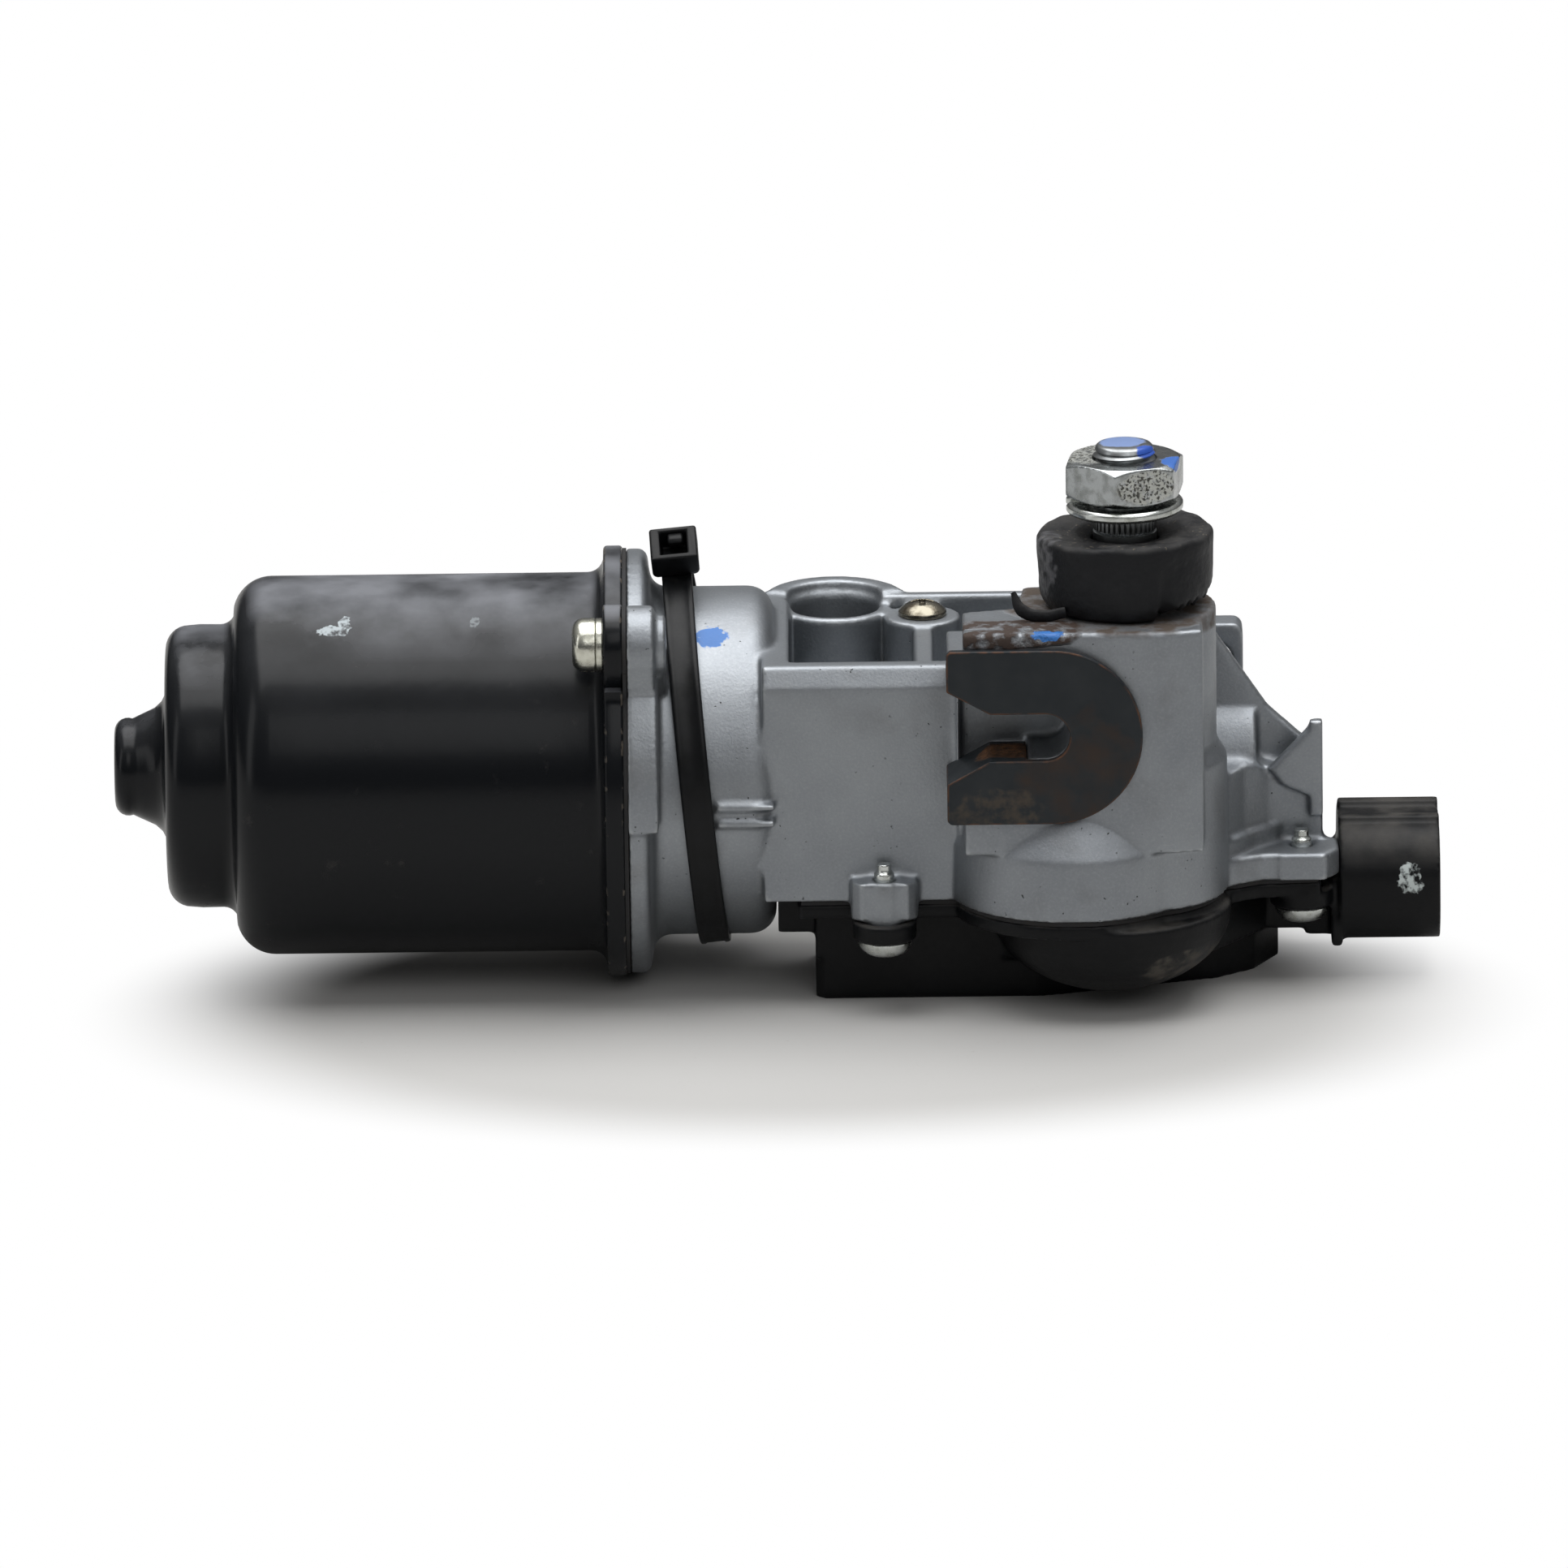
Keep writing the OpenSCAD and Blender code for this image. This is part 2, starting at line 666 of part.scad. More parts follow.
module gear_cover() {
    color("#151618") placed() {
        difference() {
            cover_outside();
            // Tray
            translate([0, 0, tray_step_z + cover_wall]) linear_extrude(40) {
                offset(delta = -cover_wall - 1.6) tray_outline();
            }
            translate([0, 0, floor_z + cover_wall]) linear_extrude(40) offset(delta = -cover_wall - 1.6) foot_outline();
            translate([0, 0, cover_top - 4]) linear_extrude(8) offset(delta = -cover_wall) tray_outline();
            translate([bowl_x, chamber_y, cover_top - 4]) cylinder(r = 14, h = 8);
            // Connector socket
            along_x(connector_x + 1.9) translate([0, connector_z]) {
                linear_extrude(30) offset(delta = -1.6) connector_outline();
            }
            // Clearance for the screw columns and the screws
            for (p = cover_screw_xy) {
                translate([p[0], p[1], cover_screw_seat + eye_floor]) cylinder(r = column_r + 0.15, h = 12);
                translate([p[0], p[1], cover_screw_seat - 1]) cylinder(r = 1.8, h = 12);
            }
            // Slots for the terminals in the connector's back wall
            for (y = terminal_y) {
                box([23, y - 0.45, connector_z - 1.25], [37, y + 0.45, connector_z + 1.25]);
            }
        }
    }
}

module cover_gasket() {
    color("#101114") placed() {
        translate([0, 0, cover_top]) linear_extrude(seal_t) {
            difference() {
                offset(delta = -0.9) lip_outline();
                offset(delta = -2.4) lip_outline();
                for (p = cover_screw_xy) {
                    translate(p) circle(r = column_r + 0.2);
                }
            }
        }
    }
}

// Low dome screws, driven up from below into the columns
module cover_screws() {
    color("#b5b8b5") placed() {
        for (p = cover_screw_xy) {
            translate([p[0], p[1], 0]) {
                difference() {
                    union() {
                        translate([0, 0, cover_screw_seat]) rotate_extrude() polygon(concat(
                            [[0, -2.6]], arc([1.8, -0.1], 2.5, 270, 360, 6), [[4.3, 0], [0, 0]]
                        ));
                        translate([0, 0, cover_screw_seat - eps]) cylinder(r = 1.6, h = 10.6);
                        translate([0, 0, -11]) cylinder(r1 = 1.6, r2 = 1.15, h = 0.5);
                        translate([0, 0, -10.5]) cylinder(r = 1.15, h = cover_screw_tip + 10.5);
                    }
                    translate([0, 0, cover_screw_seat - 3]) {
                        box([-2, -0.45, 0], [2, 0.45, 1.8]);
                        box([-0.45, -2, 0], [0.45, 2, 1.8]);
                    }
                }
            }
        }
    }
}

// ----------------------------------------------------------- tie and boot

module cable_tie() {
    r = neck_r + 0.4;
    color("#131415") placed() {
        translate([-67.1, 0, 0]) rotate([0, -tie_lean, 0]) {
            rotate([0, 90, 0]) translate([0, 0, -tie_w / 2]) ring(r + 1.2, r, tie_w);
            // Strap where it leaves the neck in a straight line, and its end inside the head
            along_x(-tie_w / 2) linear_extrude(tie_w) {
                polygon([[-14.2, 25.1], [-13.6, 24.1], [-2, 29.7], [-2.6, 30.8]]);
                polygon([[-2.4, 28.2], [2.2, 28.2], [2.2, 33.2], [-2.4, 31]]);
            }
            translate([0, 0, 32.1]) rotate([31, 0, 0]) difference() {
                box([-3.7, -3.4, 0], [3.7, 3.4, 5]);
                box([-2.1, -1.7, 1.2], [2.1, 2, 6]);
            }
        }
    }
}

module shaft_boot() {
    color("#26272a") placed() translate([0, shaft_y, 0]) {
        rotate_extrude($fn = 96) polygon(concat(
            [[9.1, block_top], [boot_r - 0.4, block_top], [boot_r, block_top + 2]],
            arc([boot_r - 4.3, block_top + 8.4], 4.1, 0, 90, 7),
            [[7.2, block_top + 12.4], [6.2, block_top + 11.7], [shaft_r + 0.1, block_top + 11.2]],
            [[shaft_r + 0.1, block_top + 9.4], [7, block_top + 9], [9.1, block_top + 7.6]]
        ));
    }
}

// ------------------------------------------------------- output shaft group

// Root and crest of the thread, as a turned profile
thread_pitch = 1.25;
thread_from = 46.4;
thread_count = floor((shaft_tip - 1.1 - thread_from) / thread_pitch);

function thread_profile() = [
    for (i = [0:thread_count - 1], p = [[0, shaft_r - 0.78], [0.55, shaft_r - 0.06], [0.75, shaft_r - 0.06]])
        [p[1], thread_from + i * thread_pitch + p[0]]
];

module output_shaft() {
    color("#9a9c9c") placed() translate([0, shaft_y, 0]) {
        difference() {
            union() {
                rotate_extrude() polygon(concat(
                    [[0, -12], [shaft_r - 0.6, -12], [shaft_r - 0.01, -11.4]],
                    [[shaft_r - 0.01, 36.1], [shaft_r - 0.7, 36.1], [shaft_r - 0.7, 37.3], [shaft_r - 0.01, 37.3]],
                    [[shaft_r - 0.01, 41.8], [shaft_r - 0.35, 42]],
                    [[shaft_r - 0.35, 46]],
                    thread_profile(),
                    [[shaft_r - 0.78, shaft_tip - 1.3], [shaft_r - 0.2, shaft_tip - 0.9], [shaft_r - 0.55, shaft_tip]],
                    [[0, shaft_tip]]
                ));
                // Serrations that grip the crank
                translate([0, 0, 42.2]) linear_extrude(3.6) polygon([
                    for (i = [0:35], p = [[0, -0.3], [5, 0]]) polar(shaft_r + p[1], i * 10 + p[0])
                ]);
            }
        }
    }
}

module output_nut() {
    across_corners = nut_flats / cos(30);
    color("#b4b7b6") placed() translate([0, shaft_y, nut_z]) {
        difference() {
            intersection() {
                rotate(nut_turn) cylinder(r = across_corners / 2, h = nut_t, $fn = 6);
                rotate_extrude() polygon([
                    [0, 0], [nut_flats / 2 - 0.1, 0], [across_corners / 2 + 0.4, 1],
                    [across_corners / 2 + 0.4, nut_t - 1], [nut_flats / 2 - 0.1, nut_t], [0, nut_t]
                ]);
            }
            translate([0, 0, -eps]) cylinder(r = shaft_r + 0.02, h = nut_t + 2 * eps);
        }
    }
}

module spring_washer() {
    color("#aeb1b1") placed() translate([0, shaft_y, washer_z]) {
        difference() {
            ring(9.2, shaft_r + 0.25, washer_t);
            rotate(176) box([0, -0.7, -1], [12, 0.5, washer_t + 1]);
        }
    }
}

module output_bush() {
    color("#a8823f") placed() translate([0, shaft_y, 4.6]) {
        ring(7, shaft_r + running_gap, 31);
    }
}

module thrust_washer() {
    color("#c8b98a") placed() translate([0, shaft_y, 3.5]) {
        ring(9, shaft_r + 0.06, 1);
    }
}

module retaining_ring() {
    color("#3a3a3c") placed() translate([0, shaft_y, 36.2]) {
        difference() {
            ring(7, shaft_r - 0.65, 1);
            rotate(-90) box([0, -1.6, -1], [9, 1.6, 3]);
        }
    }
}

// Wheel with trapezoid teeth: addendum, dedendum and half widths at the pitch circle
wheel_pitch_r = gear_module * wheel_teeth / 2;
addendum = 0.5;
dedendum = 0.8;
tooth_half = 0.42;
flank = tan(20);

function tooth(a) = [
    for (p = [
        [-dedendum, -tooth_half - dedendum * flank], [addendum, -tooth_half + addendum * flank],
        [addendum, tooth_half - addendum * flank], [-dedendum, tooth_half + dedendum * flank]
    ])
        polar(wheel_pitch_r + p[0], a + p[1] / wheel_pitch_r * 180 / PI)
];

module gear_wheel() {
    color("#e7e2d4") placed() translate([0, shaft_y, 0]) {
        difference() {
            union() {
                translate([0, 0, -2.5]) linear_extrude(5) polygon([
                    for (i = [0:wheel_teeth - 1], p = tooth(90 + (i + 0.5) * 360 / wheel_teeth)) p
                ]);
                translate([0, 0, -6.5]) cylinder(r = 8, h = 9.9);
            }
            translate([0, 0, -10]) cylinder(r = shaft_r, h = 20);
        }
    }
}

// Printed contact disc under the wheel: a full track and a broken track
module park_disc() {
    color("#b87a3c") placed() translate([0, shaft_y, -3.3]) {
        ring(9.4, 8.05, 0.8);
        difference() {
            ring(12, 9.4 - eps, 0.8);
            rotate(60) box([9.5, -2, -1], [13, 2, 2]);
        }
    }
}

// --------------------------------------------------- contacts and terminals

plate_z = -15.6;

module contact_plate() {
    color("#2d3a33") placed() {
        difference() {
            translate([0, 0, plate_z]) linear_extrude(1.6) offset(delta = -3.4) tray_outline();
            translate([0, shaft_y, plate_z - 1]) cylinder(r = shaft_r + 3, h = 4);
        }
    }
}

// Spring fingers that ride on the park disc
module park_contacts() {
    color("#c79a4b") placed() {
        for (i = [0:1]) {
            tip = 12 - 8.8 - 1.8 * i;
            translate([-12, shaft_y + 1 - 3.4 * i, plate_z + 1.6]) {
                box([-1.4, -0.8, 0], [1.4, 0.8, 0.5]);
                box([-1.4, -0.8, 0], [-0.9, 0.8, 9.9]);
                box([-1.4, -0.8, 9.5], [tip + 0.6, 0.8, 9.9]);
                box([tip - 0.6, -0.8, 9.8], [tip + 0.6, 0.8, 10.62]);
            }
        }
    }
}

module terminals() {
    color("#c9c4b2") placed() {
        for (y = terminal_y) {
            box([24, y - 0.4, connector_z - 1.2], [44, y + 0.4, connector_z + 1.2]);
        }
    }
}

module choke_coils() {
    color("#a65f2a") placed() {
        for (i = [0:1]) {
            translate([-40 + 14 * i, -12, plate_z - 4.1]) rotate([0, 90, 0]) {
                cylinder(r = 1.8, h = 11);
                for (k = [0:7]) {
                    translate([0, 0, 0.8 + k * 1.2]) rotate_extrude() translate([2.1, 0]) circle(r = 0.5, $fn = 16);
                }
            }
        }
    }
}

module capacitor() {
    color("#c56a1e") placed() {
        box([-40, 0, plate_z - 5.3], [-33, 3, plate_z - 0.3]);
    }
}

module thermal_breaker() {
    color("#70757a") placed() {
        box([-28, -1, plate_z - 3.6], [-16, 7, plate_z - 0.3]);
        box([-30, 1, plate_z - 1.2], [-28 + eps, 5, plate_z - 0.7]);
        box([-16 - eps, 1, plate_z - 1.2], [-14, 5, plate_z - 0.7]);
    }
}

// ---------------------------------------------------------------- armature

lead = PI * gear_module;
worm_tip_r = worm_pitch_r + 0.5;
worm_root_r = worm_pitch_r - 0.75;

// Height of the thread, over the shaft, at a distance along the axis from its middle
function worm_r(s) =
    let (flat = tooth_half - 0.5 * flank, foot = tooth_half + 0.75 * flank, d = abs(s))
    d <= flat ? worm_tip_r : d >= foot ? worm_root_r
    : worm_tip_r - (d - flat) / (foot - flat) * (worm_tip_r - worm_root_r);

// One step of the grid along the axis matches one step around it, so the thread runs along grid lines
worm_steps = 20;
worm_turns = 6;
worm_len = worm_turns * lead;

// Distance along the axis from the nearest turn of a right-hand thread
function along_thread(x, a) = let (d = x - lead * (a / 360 - 0.5)) d - lead * round(d / lead);

module worm() {
    rings = worm_turns * worm_steps;
    outer = [
        for (j = [0:rings], i = [0:worm_steps - 1])
            let (x = -worm_len / 2 + j * lead / worm_steps, a = i * 360 / worm_steps)
            concat(polar(worm_r(along_thread(x, a)), a), x)
    ];
    bore = [
        for (x = [-worm_len / 2, worm_len / 2], i = [0:worm_steps - 1])
            concat(polar(worm_seat_r + 0.05, i * 360 / worm_steps), x)
    ];
    first = len(outer);
    last = rings * worm_steps;
    walls = [
        for (j = [0:rings - 1], i = [0:worm_steps - 1])
            let (n = (i + 1) % worm_steps, p = j * worm_steps, q = p + worm_steps)
            each [[p + i, q + n, p + n], [p + i, q + i, q + n]]
    ];
    inside = [
        for (i = [0:worm_steps - 1])
            let (n = (i + 1) % worm_steps, q = first + worm_steps)
            each [[first + i, first + n, q + n], [first + i, q + n, q + i]]
    ];
    ends = [
        for (i = [0:worm_steps - 1])
            let (n = (i + 1) % worm_steps, q = first + worm_steps)
            each [
                [i, n, first + n], [i, first + n, first + i],
                [last + i, q + n, last + n], [last + i, q + i, q + n]
            ]
    ];
    color("#b9bcbf") placed() along_x(0) polyhedron(concat(outer, bore), concat(walls, inside, ends));
}

module armature_shaft() {
    color("#a9adb0") placed() {
        along_x(0) rotate_extrude() polygon([
            [0, tip_x + 5.65], [rotor_shaft_r - 0.5, tip_x + 5.65], [rotor_shaft_r, tip_x + 6.2],
            [rotor_shaft_r, -worm_len / 2 - 0.05], [worm_seat_r, -worm_len / 2 - 0.05],
            [worm_seat_r, 16.6], [worm_seat_r - 0.5, 17.1], [0, 17.1]
        ]);
    }
}

slots = 12;

module core_section(r_out, tooth_w, r_yoke) {
    difference() {
        circle(r = r_out);
        for (i = [0:slots - 1]) {
            rotate(i * 360 / slots) {
                polygon([[r_yoke, -1.2], [r_out - 2, -r_out * 0.262 + tooth_w / 2],
                    [r_out - 2, r_out * 0.262 - tooth_w / 2], [r_yoke, 1.2]]);
                translate([r_out - 3, -0.8]) square([5, 1.6]);
            }
        }
        circle(r = rotor_shaft_r + 0.01);
    }
}

module armature_core() {
    color("#5d6166") placed() {
        along_x(core_x[0]) linear_extrude(core_x[1] - core_x[0]) core_section(core_r, 4.6, 9.5);
    }
}

module windings() {
    color("#a4522a") placed() {
        along_x(0) {
            for (z = [[core_x[0] - 5.5, core_x[0] - 0.05], [core_x[1] + 0.05, core_x[1] + 6.5]]) {
                h = z[1] - z[0];
                translate([0, 0, z[0]]) rotate_extrude() polygon(concat(
                    [[rotor_shaft_r + 1.5, 0], [18.8, 0]], arc([17.3, h / 2], 1.6, -60, 60, 4),
                    [[16, h], [rotor_shaft_r + 3, h], [rotor_shaft_r + 1.5, h - 1]]
                ));
            }
            for (i = [0:slots - 1]) {
                rotate(i * 360 / slots) translate([10.2, -1, core_x[0] - 0.5]) cube([7.6, 2, core_x[1] - core_x[0] + 1]);
            }
        }
    }
}

module commutator() {
    color("#b87346") placed() {
        along_x(commutator_x[0]) {
            difference() {
                union() {
                    cylinder(r = commutator_r, h = commutator_x[1] - commutator_x[0]);
                    cylinder(r = commutator_r + 1.6, h = 2);
                }
                translate([0, 0, -1]) cylinder(r = rotor_shaft_r + 0.01, h = 30);
                for (i = [0:slots - 1]) {
                    rotate((i + 0.5) * 360 / slots) translate([commutator_r - 1.2, -0.3, -1]) cube([4, 0.6, 30]);
                }
            }
        }
    }
}

module rear_bush() {
    color("#a8823f") placed() along_x(tip_x + 3.05) ring(5.88, rotor_shaft_r + running_gap, 6.9);
}

module thrust_ball() {
    color("#cfd2d4") placed() translate([tip_x + 3.63, 0, 0]) sphere(r = 2);
}

// Ball bearing that carries the armature in the housing's end wall
module front_bearing() {
    color("#c3c7ca") placed() along_x(bearing_x[0] + 0.1) {
        difference() {
            ring(bearing_r - 0.01, 9, 6.8);
            translate([0, 0, 3.4]) rotate_extrude() translate([7.6, 0]) circle(r = 2.02, $fn = 32);
        }
        difference() {
            ring(6.2, rotor_shaft_r + 0.02, 6.8);
            translate([0, 0, 3.4]) rotate_extrude() translate([7.6, 0]) circle(r = 2.02, $fn = 32);
        }
        for (i = [0:7]) {
            rotate(i * 45) translate([7.6, 0, 3.4]) sphere(r = 1.95);
        }
    }
}

module nose_bush() {
    color("#a8823f") placed() along_x(12) ring(5.5, worm_seat_r + running_gap, 5);
}

module nose_ball() {
    color("#cfd2d4") placed() along_x(0) rotate_extrude() {
        polygon([[0, 17.13], [0.5, 17.22], [0.9, 17.5], [1.1, 17.98], [0, 17.98]]);
    }
}

// ------------------------------------------------------- magnets and brushes

module magnets() {
    color("#3b3d40") placed() along_x(magnet_x[0]) {
        for (a = [20, 200]) {
            rotate(a) rotate_extrude(angle = 140) translate([magnet_r[0], 0])
                square([magnet_r[1] - magnet_r[0], magnet_x[1] - magnet_x[0]]);
        }
    }
}

// Bent springs that push the magnets apart
module magnet_springs() {
    color("#8c8f92") placed() along_x(magnet_x[0] + 6) {
        for (a = [-13, 167]) {
            rotate(a) rotate_extrude(angle = 26) translate([magnet_r[0] + 4.4, 0])
                square([0.6, magnet_x[1] - magnet_x[0] - 12]);
        }
    }
}

brush_angles = [90, 210, 330];
brush_plate_x = -76.4;
brush_x = -70.5;

module brush_holder() {
    color("#3a2f28") placed() {
        along_x(brush_plate_x) {
            difference() {
                union() {
                    cylinder(r = neck_r - 3.3, h = 2.2);
                    for (a = brush_angles) {
                        rotate(a) translate([12.4, -4, 0]) cube([10.8, 8, 9.6]);
                    }
                }
                translate([0, 0, -1]) cylinder(r = commutator_r + 1, h = 20);
                for (a = brush_angles) {
                    rotate(a) translate([5, -3.05, brush_x - brush_plate_x - 2.55]) cube([16.8, 6.1, 5.1]);
                }
            }
        }
    }
}

module brushes() {
    color("#2b2c2e") placed() {
        along_x(brush_x - 2.5) {
            difference() {
                for (a = brush_angles) {
                    rotate(a) translate([9, -3, 0]) cube([7.5, 6, 5]);
                }
                translate([0, 0, -1]) cylinder(r = commutator_r + 0.08, h = 7);
            }
        }
    }
}

// Round-wire compression spring standing on Z
module coil_spring(r, wire, h, turns) {
    around = 12;
    sides = 6;
    n = turns * around;
    points = [
        for (k = [0:n], u = [0:sides - 1])
            let (rr = r + wire * cos(u * 360 / sides))
            concat(polar(rr, k * 360 / around), wire + k * (h - 2 * wire) / n + wire * sin(u * 360 / sides))
    ];
    side_faces = [
        for (k = [0:n - 1], u = [0:sides - 1])
            let (v = (u + 1) % sides, p = k * sides, q = p + sides)
            each [[p + u, p + v, q + v], [p + u, q + v, q + u]]
    ];
    end_faces = [[for (u = [sides - 1:-1:0]) u], [for (u = [0:sides - 1]) n * sides + u]];
    polyhedron(points, concat(side_faces, end_faces));
}

module brush_springs() {
    color("#b0b3b5") placed() {
        along_x(brush_x) for (a = brush_angles) {
            rotate(a) translate([16.55, 0, 0]) rotate([0, 90, 0]) coil_spring(1.7, 0.35, 5.2, 4);
        }
    }
}

yoke();
yoke_screws();
yoke_washers();
yoke_gasket();
gear_housing();
gear_cover();
cover_gasket();
cover_screws();
case_screw();
fork_clip();
cable_tie();
shaft_boot();
output_nut();
spring_washer();
output_shaft();
output_bush();
thrust_washer();
retaining_ring();
gear_wheel();
park_disc();
park_contacts();
contact_plate();
terminals();
choke_coils();
capacitor();
thermal_breaker();
worm();
armature_shaft();
armature_core();
windings();
commutator();
rear_bush();
thrust_ball();
front_bearing();
nose_bush();
nose_ball();
magnets();
magnet_springs();
brush_holder();
brushes();
brush_springs();
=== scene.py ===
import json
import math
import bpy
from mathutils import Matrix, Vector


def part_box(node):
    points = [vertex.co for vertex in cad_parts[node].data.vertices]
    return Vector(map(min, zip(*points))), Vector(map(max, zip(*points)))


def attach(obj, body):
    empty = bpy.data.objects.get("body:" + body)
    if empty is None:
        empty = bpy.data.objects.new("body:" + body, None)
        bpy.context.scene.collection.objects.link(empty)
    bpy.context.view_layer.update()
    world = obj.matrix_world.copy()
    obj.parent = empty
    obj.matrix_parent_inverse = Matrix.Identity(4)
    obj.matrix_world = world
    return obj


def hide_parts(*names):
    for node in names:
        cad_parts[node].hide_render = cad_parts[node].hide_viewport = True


bl_info = {
    "name": "Windshield wiper motor",
    "version": (1, 0, 0),
    "blender": (4, 5, 0),
    "location": "View3D > Sidebar > Wiper motor",
    "description": "Builds a windshield wiper motor with its worm gear housing around its engineering model",
    "category": "Object",
}

import bmesh
import bpy
import numpy as np
from bpy.props import FloatProperty, FloatVectorProperty, IntProperty, PointerProperty
from mathutils import Matrix, Vector, noise

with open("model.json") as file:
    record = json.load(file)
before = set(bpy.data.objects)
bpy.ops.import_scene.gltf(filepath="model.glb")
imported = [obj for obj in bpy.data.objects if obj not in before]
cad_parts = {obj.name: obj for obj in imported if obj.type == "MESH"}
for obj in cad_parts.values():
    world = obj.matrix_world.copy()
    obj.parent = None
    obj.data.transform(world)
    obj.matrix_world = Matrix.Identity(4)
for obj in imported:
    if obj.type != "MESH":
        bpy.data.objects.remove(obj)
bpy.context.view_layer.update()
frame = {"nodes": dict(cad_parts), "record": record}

MM = 0.001

# The output shaft's line crosses the motor's line above this point, so
# every place below is measured from it, in millimetres, as on a drawing.
_shaft_low, _shaft_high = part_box("output_shaft")
_core_low, _core_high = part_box("armature_core")
CROSSING = Vector((
    (_shaft_low.x + _shaft_high.x) / 2,
    (_core_low.y + _core_high.y) / 2,
    (_core_low.z + _core_high.z) / 2,
))
SHAFT_Y = ((_shaft_low.y + _shaft_high.y) / 2 - CROSSING.y) / MM


def at(x, y, z):
    """A place given in millimetres from the crossing, in the model's own metres."""
    return CROSSING + Vector((x, y, z)) * MM


def linear(hex_colour):
    """An sRGB hex colour as linear red, green, blue and a full alpha."""
    values = [int(hex_colour[i:i + 2], 16) / 255 for i in (1, 3, 5)]
    return tuple(v / 12.92 if v <= 0.04045 else ((v + 0.055) / 1.055) ** 2.4 for v in values) + (1.0,)


# ------------------------------------------------------------------ settings


def colour_setting(name, description, hex_colour):
    """A colour that the user may change."""
    return FloatVectorProperty(
        name=name, description=description, subtype="COLOR", size=3, min=0, max=1,
        default=linear(hex_colour)[:3],
    )


def length_setting(name, description, millimetres):
    """A length that the user may change, shown in the scene's units."""
    return FloatProperty(
        name=name, description=description, subtype="DISTANCE", unit="LENGTH", default=millimetres * MM
    )


def angle_setting(name, description, degrees):
    """An angle that the user may change."""
    return FloatProperty(name=name, description=description, subtype="ANGLE", default=math.radians(degrees))


class StageSettings(bpy.types.PropertyGroup):
    """Floor, lights and camera."""

    elevation: angle_setting("Elevation", "Angle of the camera above the floor", 16)
    roll: angle_setting("Roll", "Turn of the camera about its own line of sight", -0.68)
    distance: length_setting("Distance", "From the camera to the motor", 4000)
    focal_length: FloatProperty(
        name="Focal length", description="Long lens, for a view with little perspective", default=585.0
    )
    top_light: FloatProperty(
        name="Top light", description="Power of the soft box overhead, in watts", default=19.0
    )
    front_light: FloatProperty(
        name="Front light", description="Power of the soft box in front, in watts", default=4.2
    )
    side_light: FloatProperty(
        name="Side light", description="Power of the strip on the left, in watts", default=1.2
    )
    surroundings: FloatProperty(name="Surroundings", description="Brightness of the room around", default=0.5)
    # Painted shadow: the floor close to the motor takes this grey instead of white
    floor_and_shadow_colour: colour_setting("Floor", "Colour of the floor close to the motor", "#bab9b7")


class CanSettings(bpy.types.PropertyGroup):
    """The deep-drawn can and its paint."""

    steps: IntProperty(name="Steps", description="Steps around the can", default=192, min=48, max=256)
    paint: colour_setting("Paint", "Enamel of the can", "#0e1013")
    dust: colour_setting("Dust", "Road dust that settled on the can", "#7a7c81")
    radius: length_setting("Radius", "Outside radius of the barrel", 29.7)
    flange_radius: length_setting("Flange radius", "Outside radius of the round flange", 33.8)


class HousingSettings(bpy.types.PropertyGroup):
    """The cast gear housing and the moulded cover under it."""

    voxel: length_setting("Casting detail", "Smallest edge rounding kept on the casting", 0.48)
    aluminium: colour_setting("Aluminium", "Satin grey of the bare casting", "#8b8f94")
    # This colour also serves as painted shade: it darkens the casting's concave corners
    grime_and_corner_shade: colour_setting("Grime", "Dirt in the casting's corners", "#4a4036")
    plastic: colour_setting("Plastic", "Moulded cover and connector", "#0b0c0e")
    mark: colour_setting("Paint mark", "Blue paint that marks a tightened joint", "#2f6fb8")


class ShaftSettings(bpy.types.PropertyGroup):
    """The output shaft with its nut, washer and boot, and the cable tie."""

    thread_pitch: length_setting("Thread pitch", "Distance between two turns of the thread", 1.25)
    washer_rise: length_setting("Washer rise", "Step between the two ends of the spring washer", 0.8)
    rubber: colour_setting("Rubber", "Moulded boot", "#131417")
    nylon: colour_setting("Tie", "Black nylon of the cable tie", "#0a0b0c")


# ----------------------------------------------------------------- materials


def add(tree, kind, inputs=None, **settings):
    """Adds a node, sets its properties, and fills its inputs with values or with other nodes' sockets."""
    made = tree.nodes.new(kind)
    for key, value in settings.items():
        setattr(made, key, value)
    for key, value in (inputs or {}).items():
        if isinstance(value, bpy.types.NodeSocket):
            tree.links.new(value, made.inputs[key])
        else:
            made.inputs[key].default_value = value
    return made


def start_finish(name, **sockets):
    """A new material: its nodes, its shader and the piece's own coordinates in metres."""
    material = bpy.data.materials.new(name)
    material.use_nodes = True
    tree = material.node_tree
    shader = tree.nodes["Principled BSDF"]
    for key, value in sockets.items():
        shader.inputs[key.replace("_", " ").title().replace("Ior", "IOR")].default_value = value
    coords = add(tree, "ShaderNodeTexCoord").outputs["Object"]
    return material, tree, shader, coords


def clouds(tree, coords, size_mm, low, high, detail=2.0, seed=0.0):
    """Soft patches of about this size: 0 where the noise is under low, 1 where it is over high."""
    cloud = add(
        tree, "ShaderNodeTexNoise",
        {"Vector": coords, "W": seed, "Scale": 1 / (size_mm * MM), "Detail": detail},
        noise_dimensions="4D",
    )
    return add(
        tree, "ShaderNodeMapRange", {"Value": cloud.outputs[0], "From Min": low, "From Max": high}
    ).outputs[0]


